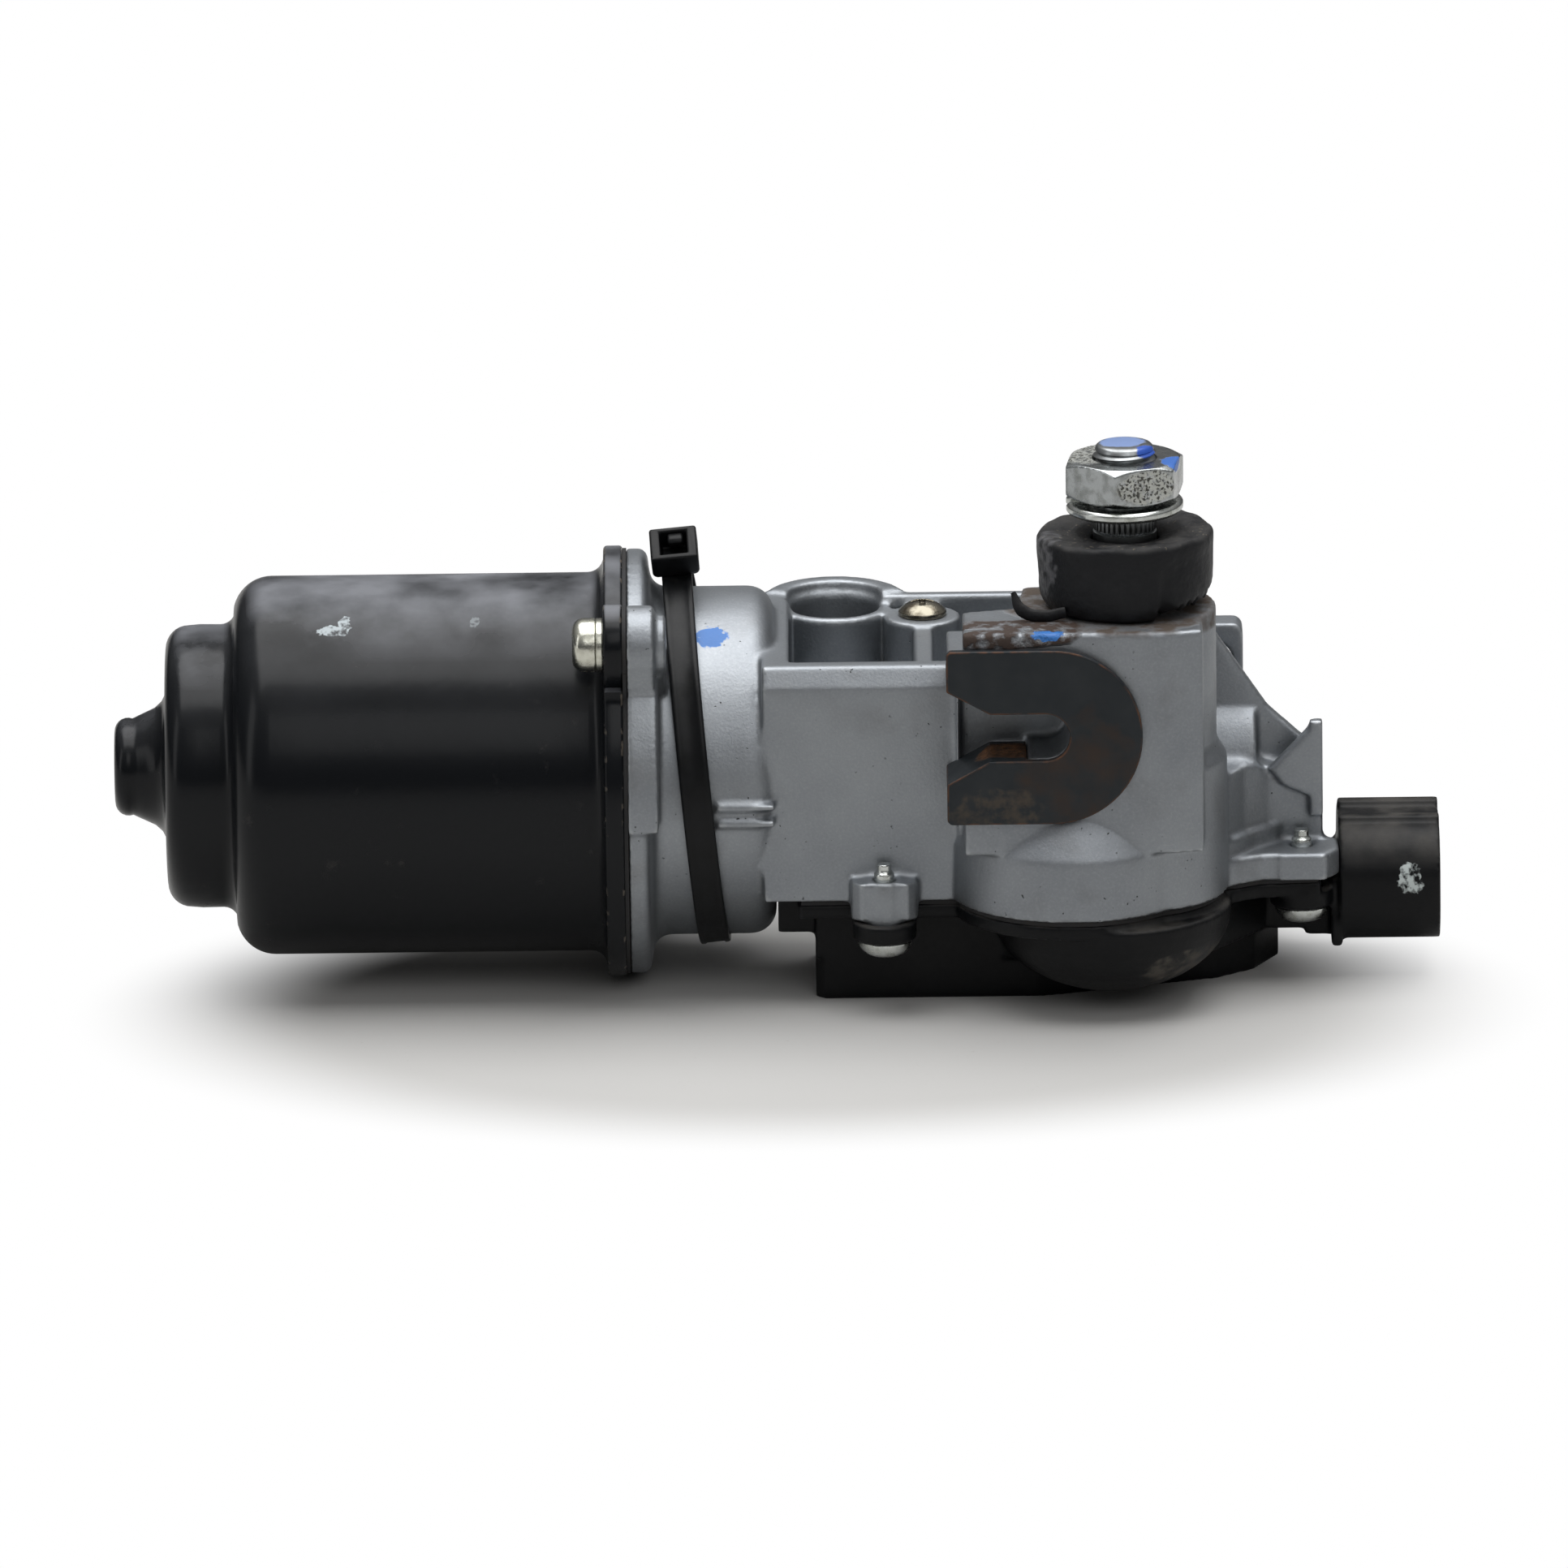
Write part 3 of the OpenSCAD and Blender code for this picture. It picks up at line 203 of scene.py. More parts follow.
def dab(tree, coords, centre, size, ragged=0.5, seed=0.0):
    """A ragged spot around a place, with its half sizes in millimetres: 1 inside, 0 outside."""
    away = add(tree, "ShaderNodeVectorMath", {0: coords, 1: centre}, operation="SUBTRACT")
    scaled = add(
        tree, "ShaderNodeVectorMath", {0: away.outputs[0], 1: [1 / (s * MM) for s in size]},
        operation="MULTIPLY",
    )
    reach = add(tree, "ShaderNodeVectorMath", {0: scaled.outputs[0]}, operation="LENGTH")
    torn = add(
        tree, "ShaderNodeTexNoise",
        {"Vector": coords, "W": seed, "Scale": 1 / (max(size) * 0.55 * MM), "Detail": 3.0},
        noise_dimensions="4D",
    )
    edge = add(
        tree, "ShaderNodeMath", {0: torn.outputs[0], 1: 2 * ragged, 2: reach.outputs["Value"]},
        operation="MULTIPLY_ADD",
    )
    return add(
        tree, "ShaderNodeMapRange",
        {"Value": edge.outputs[0], "From Min": 1.06 + ragged, "From Max": 0.94 + ragged},
    ).outputs[0]


def facing_up(tree, low, high):
    """1 where the surface faces up, 0 where it faces sideways or down."""
    normal = add(tree, "ShaderNodeNewGeometry").outputs["Normal"]
    height = add(tree, "ShaderNodeSeparateXYZ", {0: normal}).outputs["Z"]
    return add(tree, "ShaderNodeMapRange", {"Value": height, "From Min": low, "From Max": high}).outputs[0]


def edges(tree, low, high):
    """1 along the sharp edges that mark_relief found, or in the corners when low is above high."""
    relief = add(tree, "ShaderNodeAttribute", attribute_name="relief").outputs["Fac"]
    return add(tree, "ShaderNodeMapRange", {"Value": relief, "From Min": low, "From Max": high}).outputs[0]


def both(tree, first, second, share=1.0):
    """Where two masks agree, kept to a share of full strength."""
    product = add(tree, "ShaderNodeMath", {0: first, 1: second}, operation="MULTIPLY")
    return add(tree, "ShaderNodeMath", {0: product.outputs[0], 1: share}, operation="MULTIPLY").outputs[0]


def cover(tree, base, layers):
    """Lays colours over a base one by one, each under its mask."""
    for mask, colour in layers:
        base = add(tree, "ShaderNodeMix", {0: mask, 6: base, 7: colour}, data_type="RGBA").outputs[2]
    return base


def level(tree, base, layers):
    """Lays plain numbers, such as roughness, over a base one by one, each under its mask."""
    for mask, value in layers:
        base = add(tree, "ShaderNodeMix", {0: mask, 2: base, 3: value}, data_type="FLOAT").outputs[0]
    return base


def rough_up(tree, shader, heights):
    """Bumps the surface by several height maps, each given with its depth in millimetres."""
    normal = None
    for height, depth_mm in heights:
        inputs = {"Height": height, "Distance": depth_mm * MM, "Strength": 1.0}
        if normal is not None:
            inputs["Normal"] = normal
        normal = add(tree, "ShaderNodeBump", inputs).outputs[0]
    tree.links.new(normal, shader.inputs["Normal"])


def wire(tree, shader, **sockets):
    """Links sockets to the shader's inputs of the same names."""
    for key, socket in sockets.items():
        tree.links.new(socket, shader.inputs[key.replace("_", " ")])


def can_enamel(settings):
    """Baked black enamel, dipped and stoved on deep-drawn steel: glossy, with slight orange peel.
    Road dust dulls its upper side, and stones have chipped it along the rim."""
    can = settings.can
    material, tree, shader, coords = start_finish(
        "Baked black enamel on drawn steel", metallic=0.0, ior=1.45, specular_ior_level=0.24, coat_weight=0.02,
        coat_roughness=0.12
    )
    up = facing_up(tree, 0.74, 0.97)
    patchy = clouds(tree, coords, 17, 0.36, 0.58, 7.0, 1.0)
    dusty = both(tree, up, patchy, 0.9)
    film = clouds(tree, coords, 9, 0.35, 0.75, 8.0, 2.0)
    thin = both(tree, facing_up(tree, 0.5, 0.98), film, 0.16)
    streaks = clouds(tree, coords, 3, 0.62, 0.72, 8.0, 3.0)
    marks = both(tree, streaks, clouds(tree, coords, 14, 0.5, 0.62, 2.0, 4.0), 0.35)
    fork = dab(tree, coords, at(-121.8, -13.4, 26.6), (0.9, 1.8, 2.2), 1.3, 5.0)
    streak = dab(tree, coords, at(-123.6, -14.8, 25.8), (2.2, 1.4, 0.7), 1.2, 15.0)
    either = add(tree, "ShaderNodeMath", {0: fork, 1: streak}, operation="MAXIMUM").outputs[0]
    scratch = both(tree, either, clouds(tree, coords, 1.1, 0.36, 0.5, 5.0, 16.0), 0.9)
    nick = both(
        tree, dab(tree, coords, at(-101.6, -13.5, 26.8), (0.9, 1.2, 1.3), 1.2, 6.0),
        clouds(tree, coords, 0.8, 0.4, 0.55, 4.0, 17.0), 0.6,
    )
    chipped = both(tree, edges(tree, 0.25, 0.6), clouds(tree, coords, 2.2, 0.56, 0.64, 4.0, 7.0))
    paint = tuple(can.paint) + (1.0,)
    dust = tuple(can.dust) + (1.0,)
    colour = cover(tree, paint, [
        (thin, dust), (dusty, dust), (marks, linear("#3c3a38")),
        (chipped, linear("#6f675d")), (scratch, linear("#b9c2c6")), (nick, linear("#8f9699")),
    ])
    shine = level(tree, 0.24, [(thin, 0.42), (dusty, 0.62), (marks, 0.5), (chipped, 0.6), (scratch, 0.55)])
    wire(tree, shader, Base_Color=colour, Roughness=shine)
    # Orange peel is about 2 mm from crest to crest, and the drawn steel waves under it every 20 mm
    rough_up(tree, shader, [
        (clouds(tree, coords, 18, 0.3, 0.7, 1.0, 8.0), 0.05),
        (clouds(tree, coords, 1.9, 0.3, 0.7, 1.0, 9.0), 0.006),
        (dusty, 0.01),
    ])
    return material


def cast_aluminium(settings):
    """Bare die-cast aluminium, shot-blasted: an even satin grey, lighter where edges are rubbed bright,
    with dirt and painted shade in its corners, small casting pits and blue paint marks."""
    housing = settings.housing
    material, tree, shader, coords = start_finish("Shot-blasted die-cast aluminium", metallic=1.0)
    grey = tuple(housing.aluminium) + (1.0,)
    grime_and_corner_shade = tuple(housing.grime_and_corner_shade) + (1.0,)
    mark = tuple(housing.mark) + (1.0,)
    tone = clouds(tree, coords, 16, 0.3, 0.7, 4.0, 1.0)
    # Shot leaves dimples about 0.4 mm across
    blast = clouds(tree, coords, 0.42, 0.3, 0.75, 2.0, 2.0)
    speckle = both(tree, blast, blast, 0.28)
    bright = both(tree, edges(tree, 0.18, 0.75), clouds(tree, coords, 2.0, 0.34, 0.6, 3.0, 3.0), 0.75)
    # Concave corners darkened with the grime colour: dirt and painted shade in one mask
    corner = both(tree, edges(tree, -0.12, -0.7), clouds(tree, coords, 4.0, 0.35, 0.62, 5.0, 4.0), 0.55)
    smear = both(
        tree, clouds(tree, coords, 7.0, 0.5, 0.72, 8.0, 5.0), clouds(tree, coords, 24, 0.42, 0.6, 2.0, 6.0), 0.4
    )
    pits = both(
        tree, clouds(tree, coords, 0.7, 0.72, 0.76, 1.0, 7.0), clouds(tree, coords, 12, 0.5, 0.62, 1.0, 17.0)
    )
    boot_dirt = dab(tree, coords, at(0, SHAFT_Y, 31), (17.5, 17, 6), 0.45, 8.0)
    web_dirt = dab(tree, coords, at(14, -11, 27), (13, 8, 9), 0.6, 9.0)
    stain = both(tree, boot_dirt, clouds(tree, coords, 3.0, 0.3, 0.58, 8.0, 10.0), 0.9)
    web_stain = both(tree, web_dirt, clouds(tree, coords, 2.4, 0.42, 0.6, 8.0, 11.0), 0.75)
    clip_dirt = both(
        tree, dab(tree, coords, at(-19, -33, 29.5), (13, 7, 2.4), 0.5, 12.0),
        clouds(tree, coords, 2.2, 0.36, 0.52, 8.0, 13.0), 0.95,
    )
    neck_mark = dab(tree, coords, at(-64.4, -13.9, 24.0), (2.6, 2.6, 1.5), 0.9, 14.0)
    block_mark = dab(tree, coords, at(-12.5, -35.4, 29.6), (2.6, 1.5, 0.9), 0.9, 15.0)
    colour = cover(tree, grey, [
        (tone, linear("#979b9f")), (speckle, linear("#b3b6b9")), (bright, linear("#c6c9cb")),
        (smear, linear("#6e6c69")), (corner, grime_and_corner_shade), (pits, linear("#4b4c4d")),
        (web_stain, linear("#57493a")), (stain, linear("#4b3d30")), (clip_dirt, linear("#3a2a20")),
        (neck_mark, mark), (block_mark, mark),
    ])
    shine = level(tree, 0.52, [
        (tone, 0.46), (bright, 0.34), (smear, 0.6), (corner, 0.75), (web_stain, 0.85),
        (stain, 0.88), (clip_dirt, 0.88), (neck_mark, 0.4), (block_mark, 0.45),
    ])
    bare = level(tree, 1.0, [
        (corner, 0.45), (web_stain, 0.25), (stain, 0.15), (clip_dirt, 0.1), (neck_mark, 0.0), (block_mark, 0.0),
    ])
    wire(tree, shader, Base_Color=colour, Roughness=shine, Metallic=bare)
    rough_up(tree, shader, [
        (clouds(tree, coords, 6.0, 0.3, 0.7, 2.0, 16.0), 0.05),
        (blast, 0.02),
        (pits, -0.12),
        (stain, 0.25),
        (clip_dirt, 0.3),
    ])
    return material


def moulded_plastic(settings):
    """Black glass-filled PBT from a spark-eroded mould: a fine even grain with a dull shine,
    paler where it was scuffed and dusty on its ledges."""
    housing = settings.housing
    material, tree, shader, coords = start_finish(
        "Black glass-filled PBT", metallic=0.0, ior=1.45, specular_ior_level=0.22
    )
    black = tuple(housing.plastic) + (1.0,)
    grain = clouds(tree, coords, 0.35, 0.3, 0.7, 2.0, 1.0)
    dusty = both(tree, facing_up(tree, 0.3, 0.95), clouds(tree, coords, 7.0, 0.4, 0.62, 6.0, 2.0), 0.5)
    film = both(
        tree, clouds(tree, coords, 12, 0.45, 0.7, 8.0, 3.0),
        clouds(tree, coords, 2.0, 0.35, 0.65, 5.0, 4.0), 0.22,
    )
    scuff = dab(tree, coords, at(44.2, -13.3, -17.0), (2.0, 2.2, 2.4), 0.75, 5.0)
    scuffed = both(tree, scuff, clouds(tree, coords, 0.9, 0.4, 0.55, 4.0, 6.0))
    worn = both(tree, edges(tree, 0.3, 0.9), clouds(tree, coords, 2.5, 0.4, 0.65, 3.0, 7.0), 0.3)
    low_dirt = both(
        tree, dab(tree, coords, at(9, -31, -25), (8, 9, 3), 0.6, 8.0),
        clouds(tree, coords, 2.0, 0.42, 0.6, 8.0, 9.0), 0.6,
    )
    colour = cover(tree, black, [
        (film, linear("#2b2a29")), (dusty, linear("#575450")), (worn, linear("#45464a")),
        (low_dirt, linear("#5d5851")), (scuffed, linear("#bfc7c6")),
    ])
    shine = level(tree, 0.36, [(grain, 0.44), (film, 0.6), (dusty, 0.8), (low_dirt, 0.75), (scuffed, 0.7)])
    wire(tree, shader, Base_Color=colour, Roughness=shine)
    rough_up(tree, shader, [
        (clouds(tree, coords, 9, 0.3, 0.7, 1.0, 10.0), 0.03), (grain, 0.008), (scuffed, 0.08),
    ])
    return material


def clip_steel(settings):
    """Phosphated spring steel of the fork's lining: dark blue-grey, rusted brown in its slot and edges."""
    material, tree, shader, coords = start_finish("Phosphated steel with rust", metallic=0.15, ior=1.4)
    lined = dab(tree, coords, at(-19, -31, 13.5), (15, 5.6, 5.2), 0.25, 1.0)
    fringe = dab(tree, coords, at(-7, -36, 8.0), (10, 5, 9.5), 0.6, 2.0)
    patch = both(tree, fringe, clouds(tree, coords, 3.4, 0.36, 0.7, 6.0, 3.0), 0.6)
    edge = both(tree, edges(tree, 0.2, 0.75), clouds(tree, coords, 1.8, 0.4, 0.62, 5.0, 4.0), 0.6)
    crust = clouds(tree, coords, 0.9, 0.35, 0.7, 6.0, 5.0)
    low = dab(tree, coords, at(-20, -34, 1.5), (9, 6, 4.5), 0.5, 6.0)
    ashy = both(tree, low, clouds(tree, coords, 1.6, 0.4, 0.6, 6.0, 7.0), 0.6)
    colour = cover(tree, linear("#1b2024"), [
        (clouds(tree, coords, 5.0, 0.35, 0.7, 6.0, 8.0), linear("#24282b")),
        (patch, linear("#3b2a1e")), (ashy, linear("#4f453a")),
        (edge, linear("#6b4429")), (lined, linear("#33261d")),
        (both(tree, lined, crust, 0.6), linear("#8a5f3c")),
    ])
    shine = level(tree, 0.42, [(patch, 0.7), (edge, 0.65), (lined, 0.8), (ashy, 0.75)])
    wire(tree, shader, Base_Color=colour, Roughness=shine)
    rough_up(tree, shader, [
        (clouds(tree, coords, 4.0, 0.3, 0.7, 2.0, 9.0), 0.05), (both(tree, lined, crust), 0.12), (patch, 0.06),
    ])
    return material


def zinc_plate(name, tint, tarnish, speckled=False):
    """Bright zinc plating on steel: a soft mirror with a faint grain, clouded where it has begun to bloom."""
    material, tree, shader, coords = start_finish(name, metallic=1.0)
    bloom = clouds(tree, coords, 1.6, 0.42, 0.7, 6.0, 1.0)
    grain = clouds(tree, coords, 0.3, 0.3, 0.7, 2.0, 2.0)
    # Dirt and painted shade: the hollows, under the heads and in the thread roots, are darkened
    dirt_and_shade = both(tree, edges(tree, -0.2, -1.2), clouds(tree, coords, 1.2, 0.35, 0.6, 4.0, 3.0), 0.8)
    layers = [(bloom, linear(tarnish)), (dirt_and_shade, linear("#3c3833"))]
    dull = [(bloom, 0.34), (dirt_and_shade, 0.7)]
    heights = [(grain, 0.006), (bloom, 0.008)]
    if speckled:
        # One face of the nut and its top have corroded to dark grains a quarter of a millimetre across
        eaten = dab(tree, coords, at(3.5, SHAFT_Y - 8, 50.6), (4.8, 4.5, 2.7), 0.25, 4.0)
        crown = dab(tree, coords, at(-4, SHAFT_Y + 3, 53.7), (8.5, 7.5, 0.8), 0.35, 5.0)
        zone = add(tree, "ShaderNodeMath", {0: eaten, 1: crown}, operation="MAXIMUM").outputs[0]
        grains = both(tree, zone, clouds(tree, coords, 0.42, 0.5, 0.58, 2.0, 6.0), 0.92)
        chalk = both(tree, zone, clouds(tree, coords, 0.8, 0.35, 0.5, 2.0, 7.0), 0.5)
        blue = dab(tree, coords, at(7.9, SHAFT_Y - 3.0, 53.2), (2.7, 2.6, 1.2), 0.45, 8.0)
        tip = dab(tree, coords, at(-0.5, SHAFT_Y + 0.6, 56.2), (3.9, 3.6, 0.9), 0.3, 9.0)
        layers += [
            (chalk, linear("#dcdcd2")), (grains, linear("#3b3a34")),
            (blue, linear("#3f6fc0")), (tip, linear("#7f9bd0")),
        ]
        dull += [(chalk, 0.6), (grains, 0.75), (blue, 0.4), (tip, 0.35)]
        heights += [(grains, -0.05)]
        plated = level(tree, 1.0, [(chalk, 0.5), (grains, 0.3), (blue, 0.2), (tip, 0.45)])
        wire(tree, shader, Metallic=plated)
    wire(tree, shader, Base_Color=cover(tree, linear(tint), layers), Roughness=level(tree, 0.2, dull))
    rough_up(tree, shader, heights)
    return material


def boot_rubber(settings):
    """Moulded EPDM rubber, aged: dull black, greyed by dust in its folds and on its shoulder."""
    shaft = settings.shaft
    material, tree, shader, coords = start_finish(
        "Aged EPDM rubber", metallic=0.0, ior=1.45, specular_ior_level=0.3
    )
    black = tuple(shaft.rubber) + (1.0,)
    dusty = both(tree, facing_up(tree, 0.1, 0.85), clouds(tree, coords, 4.0, 0.36, 0.62, 8.0, 1.0), 0.75)
    bloom = both(
        tree, clouds(tree, coords, 9.0, 0.42, 0.62, 4.0, 2.0),
        clouds(tree, coords, 1.4, 0.35, 0.7, 6.0, 3.0), 0.3,
    )
    crumbs = both(tree, facing_up(tree, 0.2, 0.9), clouds(tree, coords, 0.7, 0.66, 0.7, 1.0, 4.0), 0.35)
    ashen = dab(tree, coords, at(-12.2, SHAFT_Y - 4, 38.5), (3.0, 5, 6.5), 0.7, 5.0)
    ash = both(tree, ashen, clouds(tree, coords, 1.5, 0.35, 0.6, 6.0, 6.0), 0.5)
    colour = cover(tree, black, [
        (bloom, linear("#3d3d3f")), (ash, linear("#77777a")),
        (dusty, linear("#454443")), (crumbs, linear("#8a8172")),
    ])
    shine = level(tree, 0.5, [(bloom, 0.62), (dusty, 0.9), (crumbs, 0.9)])
    wire(tree, shader, Base_Color=colour, Roughness=shine)
    rough_up(tree, shader, [
        (clouds(tree, coords, 5.0, 0.3, 0.7, 3.0, 7.0), 0.18),
        (clouds(tree, coords, 0.9, 0.3, 0.7, 4.0, 8.0), 0.05),
        (crumbs, 0.12),
    ])
    return material


def tie_nylon(settings):
    """Black nylon 6.6, injection moulded: a low satin shine with faint flow lines."""
    shaft = settings.shaft
    material, tree, shader, coords = start_finish(
        "Black nylon 6.6", metallic=0.0, ior=1.45, specular_ior_level=0.25
    )
    flow = clouds(tree, coords, 2.5, 0.3, 0.7, 3.0, 1.0)
    dusty = both(tree, facing_up(tree, 0.4, 1.0), clouds(tree, coords, 2.0, 0.5, 0.7, 6.0, 2.0), 0.3)
    colour = cover(tree, tuple(shaft.nylon) + (1.0,), [(flow, linear("#111214")), (dusty, linear("#3a3938"))])
    wire(tree, shader, Base_Color=colour, Roughness=level(tree, 0.33, [(flow, 0.42), (dusty, 0.7)]))
    rough_up(tree, shader, [(flow, 0.02), (clouds(tree, coords, 0.4, 0.3, 0.7, 2.0, 3.0), 0.004)])
    return material


def plain_finish(name, base, second, metallic, roughness, mottle_mm, grain_mm, depth_mm, ior=1.5):
    """An even workshop finish: two tones in soft patches, with a fine grain."""
    material, tree, shader, coords = start_finish(name, metallic=metallic, ior=ior)
    mottle = clouds(tree, coords, mottle_mm, 0.32, 0.68, 4.0, 1.0)
    grain = clouds(tree, coords, grain_mm, 0.3, 0.7, 2.0, 2.0)
    worn = both(tree, grain, mottle, 0.2)
    wire(
        tree, shader,
        Base_Color=cover(tree, linear(base), [(mottle, linear(second)), (worn, linear(base))]),
        Roughness=level(tree, roughness, [(mottle, min(roughness + 0.12, 1.0))]),
    )
    rough_up(tree, shader, [(mottle, depth_mm), (grain, depth_mm * 0.4)])
    return material


def turned_steel():
    """Ground carbon steel of the shaft, oiled: fine rings left by the wheel, blue paint on its end."""
    material, tree, shader, coords = start_finish("Ground carbon steel", metallic=1.0)
    scored = add(tree, "ShaderNodeMapping", {"Vector": coords, "Scale": (0.02, 0.02, 1.0)}).outputs[0]
    rings = clouds(tree, scored, 0.25, 0.3, 0.7, 3.0, 1.0)
    oily = clouds(tree, coords, 2.0, 0.4, 0.65, 6.0, 2.0)
    # Dirt and painted shade: the thread roots and the corners at the serrations are darkened
    dirt_and_shade = both(tree, edges(tree, -0.3, -1.5), clouds(tree, coords, 0.8, 0.25, 0.5, 4.0, 3.0), 0.85)
    tip = dab(tree, coords, at(-0.3, SHAFT_Y + 0.8, 55.9), (3.8, 3.2, 1.2), 0.35, 4.0)
    rim = dab(tree, coords, at(3.4, SHAFT_Y - 2.6, 55.0), (2.3, 2.0, 1.0), 0.3, 5.0)
    colour = cover(tree, linear("#a9adaf"), [
        (oily, linear("#8d8f8f")), (dirt_and_shade, linear("#2f2b27")),
        (tip, linear("#8ea6d8")), (rim, linear("#2f57b4")),
    ])
    wire(
        tree, shader, Base_Color=colour,
        Roughness=level(tree, 0.28, [(oily, 0.4), (dirt_and_shade, 0.75), (tip, 0.35), (rim, 0.35)]),
        Metallic=level(tree, 1.0, [(dirt_and_shade, 0.3), (tip, 0.35), (rim, 0.05)]),
    )
    rough_up(tree, shader, [(rings, 0.004), (dirt_and_shade, 0.02)])
    return material


# Each finish that needs no special work: its real name, its two tones, metallic, roughness,
# the size of its patches, the size of its grain and its depth in millimetres, and its IOR
PLAIN = {
    # Nitrile rubber sheet, die cut: dead matt, nearly black
    "seal_rubber": ("Die-cut nitrile rubber", "#15161a", "#23211f", 0.0, 0.7, 3.0, 0.4, 0.03, 1.52),
    # Acetal, moulded: milky white with a waxy shine
    "gear_plastic": ("Moulded acetal", "#d9d4c6", "#cfc8b6", 0.0, 0.34, 6.0, 0.5, 0.01, 1.48),
    # Sintered bronze, sized in a die: warm, finely porous, oily
    "bronze": ("Oil-filled sintered bronze", "#a9834a", "#8c6a38", 1.0, 0.42, 2.0, 0.25, 0.01, 1.5),
    # Carbon spring steel, blued by heat treatment
    "spring_steel": ("Blued spring steel", "#5f6468", "#44484d", 1.0, 0.34, 3.0, 0.4, 0.006, 1.5),
    # Enamelled copper wire: a reddish metal under a clear lacquer
    "copper": ("Enamelled copper wire", "#a9562c", "#8c4322", 1.0, 0.3, 2.0, 0.5, 0.01, 1.5),
    # Moulded contact plate: dark green glass-epoxy laminate
    "board": ("Glass-epoxy laminate", "#24342c", "#2f4238", 0.0, 0.42, 5.0, 0.5, 0.008, 1.55),
    # Tin-plated brass blades: pale, soft and slightly cloudy
    "tin_plate": ("Tin-plated brass", "#c9c6ba", "#b3b0a4", 1.0, 0.32, 2.0, 0.3, 0.005, 1.5),
    # Capacitor dipped in epoxy: orange, glossy, with a wavy skin
    "orange_resin": ("Dipped epoxy resin", "#b35a1b", "#9c4a14", 0.0, 0.28, 2.5, 0.8, 0.03, 1.55),
    # Stack of silicon-steel sheets, varnished
    "core_steel": ("Varnished silicon-steel stack", "#585c61", "#474a4e", 1.0, 0.45, 4.0, 0.5, 0.01, 1.5),
    # Hardened bearing steel, ground and polished
    "bearing_steel": ("Polished bearing steel", "#c6cacd", "#b4b8bb", 1.0, 0.14, 3.0, 0.3, 0.002, 1.5),
    # Sintered ferrite: a hard dark ceramic with a ground face
    "ferrite": ("Sintered ferrite", "#35373a", "#2a2b2e", 0.0, 0.55, 3.0, 0.3, 0.01, 1.9),
    # Phenolic resin, compression moulded: brown-black with a dry shine
    "brown_resin": ("Moulded phenolic resin", "#33271f", "#3f3026", 0.0, 0.45, 4.0, 0.4, 0.01, 1.6),
    # Pressed carbon and copper powder: soft black with a metal glint
    "carbon": ("Pressed carbon brush", "#26272a", "#38332f", 0.2, 0.6, 1.5, 0.25, 0.01, 1.5),
}

# Finishes that are made for one piece or one kind of hardware, each from the scene's settings
SPECIAL = {
    "can_paint": can_enamel,
    "cast_aluminium": cast_aluminium,
    "black_plastic": moulded_plastic,
    "dark_steel": clip_steel,
    "boot_rubber": boot_rubber,
    "nylon": tie_nylon,
    "shaft_steel": lambda _: turned_steel(),
    "nut_zinc": lambda _: zinc_plate("Bright zinc with white rust", "#b2b6b7", "#959896", True),
    "zinc": lambda _: zinc_plate("Bright zinc plating", "#cdd0cd", "#aeb0a9"),
    "warm_zinc": lambda _: zinc_plate("Clear-passivated zinc", "#d6d6ca", "#b3b2a4"),
    "dirty_zinc": lambda _: zinc_plate("Zinc dulled by dirt", "#8f8a7c", "#4f473b"),
}
MADE = {}


def finish(slot):
    """The material for a slot, made the first time that it is asked for."""
    if slot not in MADE:
        settings = bpy.context.scene.wiper_motor
        MADE[slot] = SPECIAL[slot](settings) if slot in SPECIAL else plain_finish(*PLAIN[slot])
    return MADE[slot]


# -------------------------------------------------------------------- pieces


def piece(name, mesh):
    """Puts a mesh in the scene as an object at the origin."""
    made = bpy.data.objects.new(name, mesh)
    bpy.context.scene.collection.objects.link(made)
    return made


def settle(made):
    """Applies a piece's modifiers to its mesh."""
    graph = bpy.context.evaluated_depsgraph_get()
    mesh = bpy.data.meshes.new_from_object(made.evaluated_get(graph))
    old = made.data
    made.modifiers.clear()
    made.data = mesh
    bpy.data.meshes.remove(old)
    return made


def stack(made, kind, name, **settings):
    """Adds one modifier with its settings."""
    modifier = made.modifiers.new(name, kind)
    for key, value in settings.items():
        setattr(modifier, key, value)
    return modifier


def clean(made, gap=1e-6):
    """Merges doubles and points every face outwards."""
    work = bmesh.new()
    work.from_mesh(made.data)
    bmesh.ops.remove_doubles(work, verts=work.verts, dist=gap)
    bmesh.ops.recalc_face_normals(work, faces=work.faces)
    work.to_mesh(made.data)
    work.free()
    return made


def soften(made, sharp_degrees=40):
    """Smooth shading, kept crisp where faces meet at more than this angle."""
    made.data.shade_smooth()
    made.data.set_sharp_from_angle(angle=math.radians(sharp_degrees))
    return made


def turned(name, profile, steps, closed=True):
    """Turns a profile of (radius, height) points in millimetres, listed from the top down, about Z."""
    mesh = bpy.data.meshes.new(name)
    count = len(profile)
    links = [(i, i + 1) for i in range(count - 1)] + ([(count - 1, 0)] if closed else [])
    mesh.from_pydata([(r * MM, 0, z * MM) for r, z in profile], links, [])
    made = piece(name, mesh)
    stack(
        made, "SCREW", "Turn", axis="Z", angle=math.tau, steps=steps, render_steps=steps,
        use_merge_vertices=True, merge_threshold=1e-6, use_smooth_shade=True,
    )
    return clean(settle(made))


def place(made, matrix):
    """Moves a piece's mesh to where it belongs, so that its object stays at the origin."""
    made.data.transform(matrix)
    made.data.update()
    return made


def corner(centre, radius, start, end, count):
    """Points on an arc, for a profile. Angles are in degrees."""
    angles = [math.radians(start + (end - start) * i / count) for i in range(count + 1)]
    return [(centre[0] + radius * math.cos(a), centre[1] + radius * math.sin(a)) for a in angles]


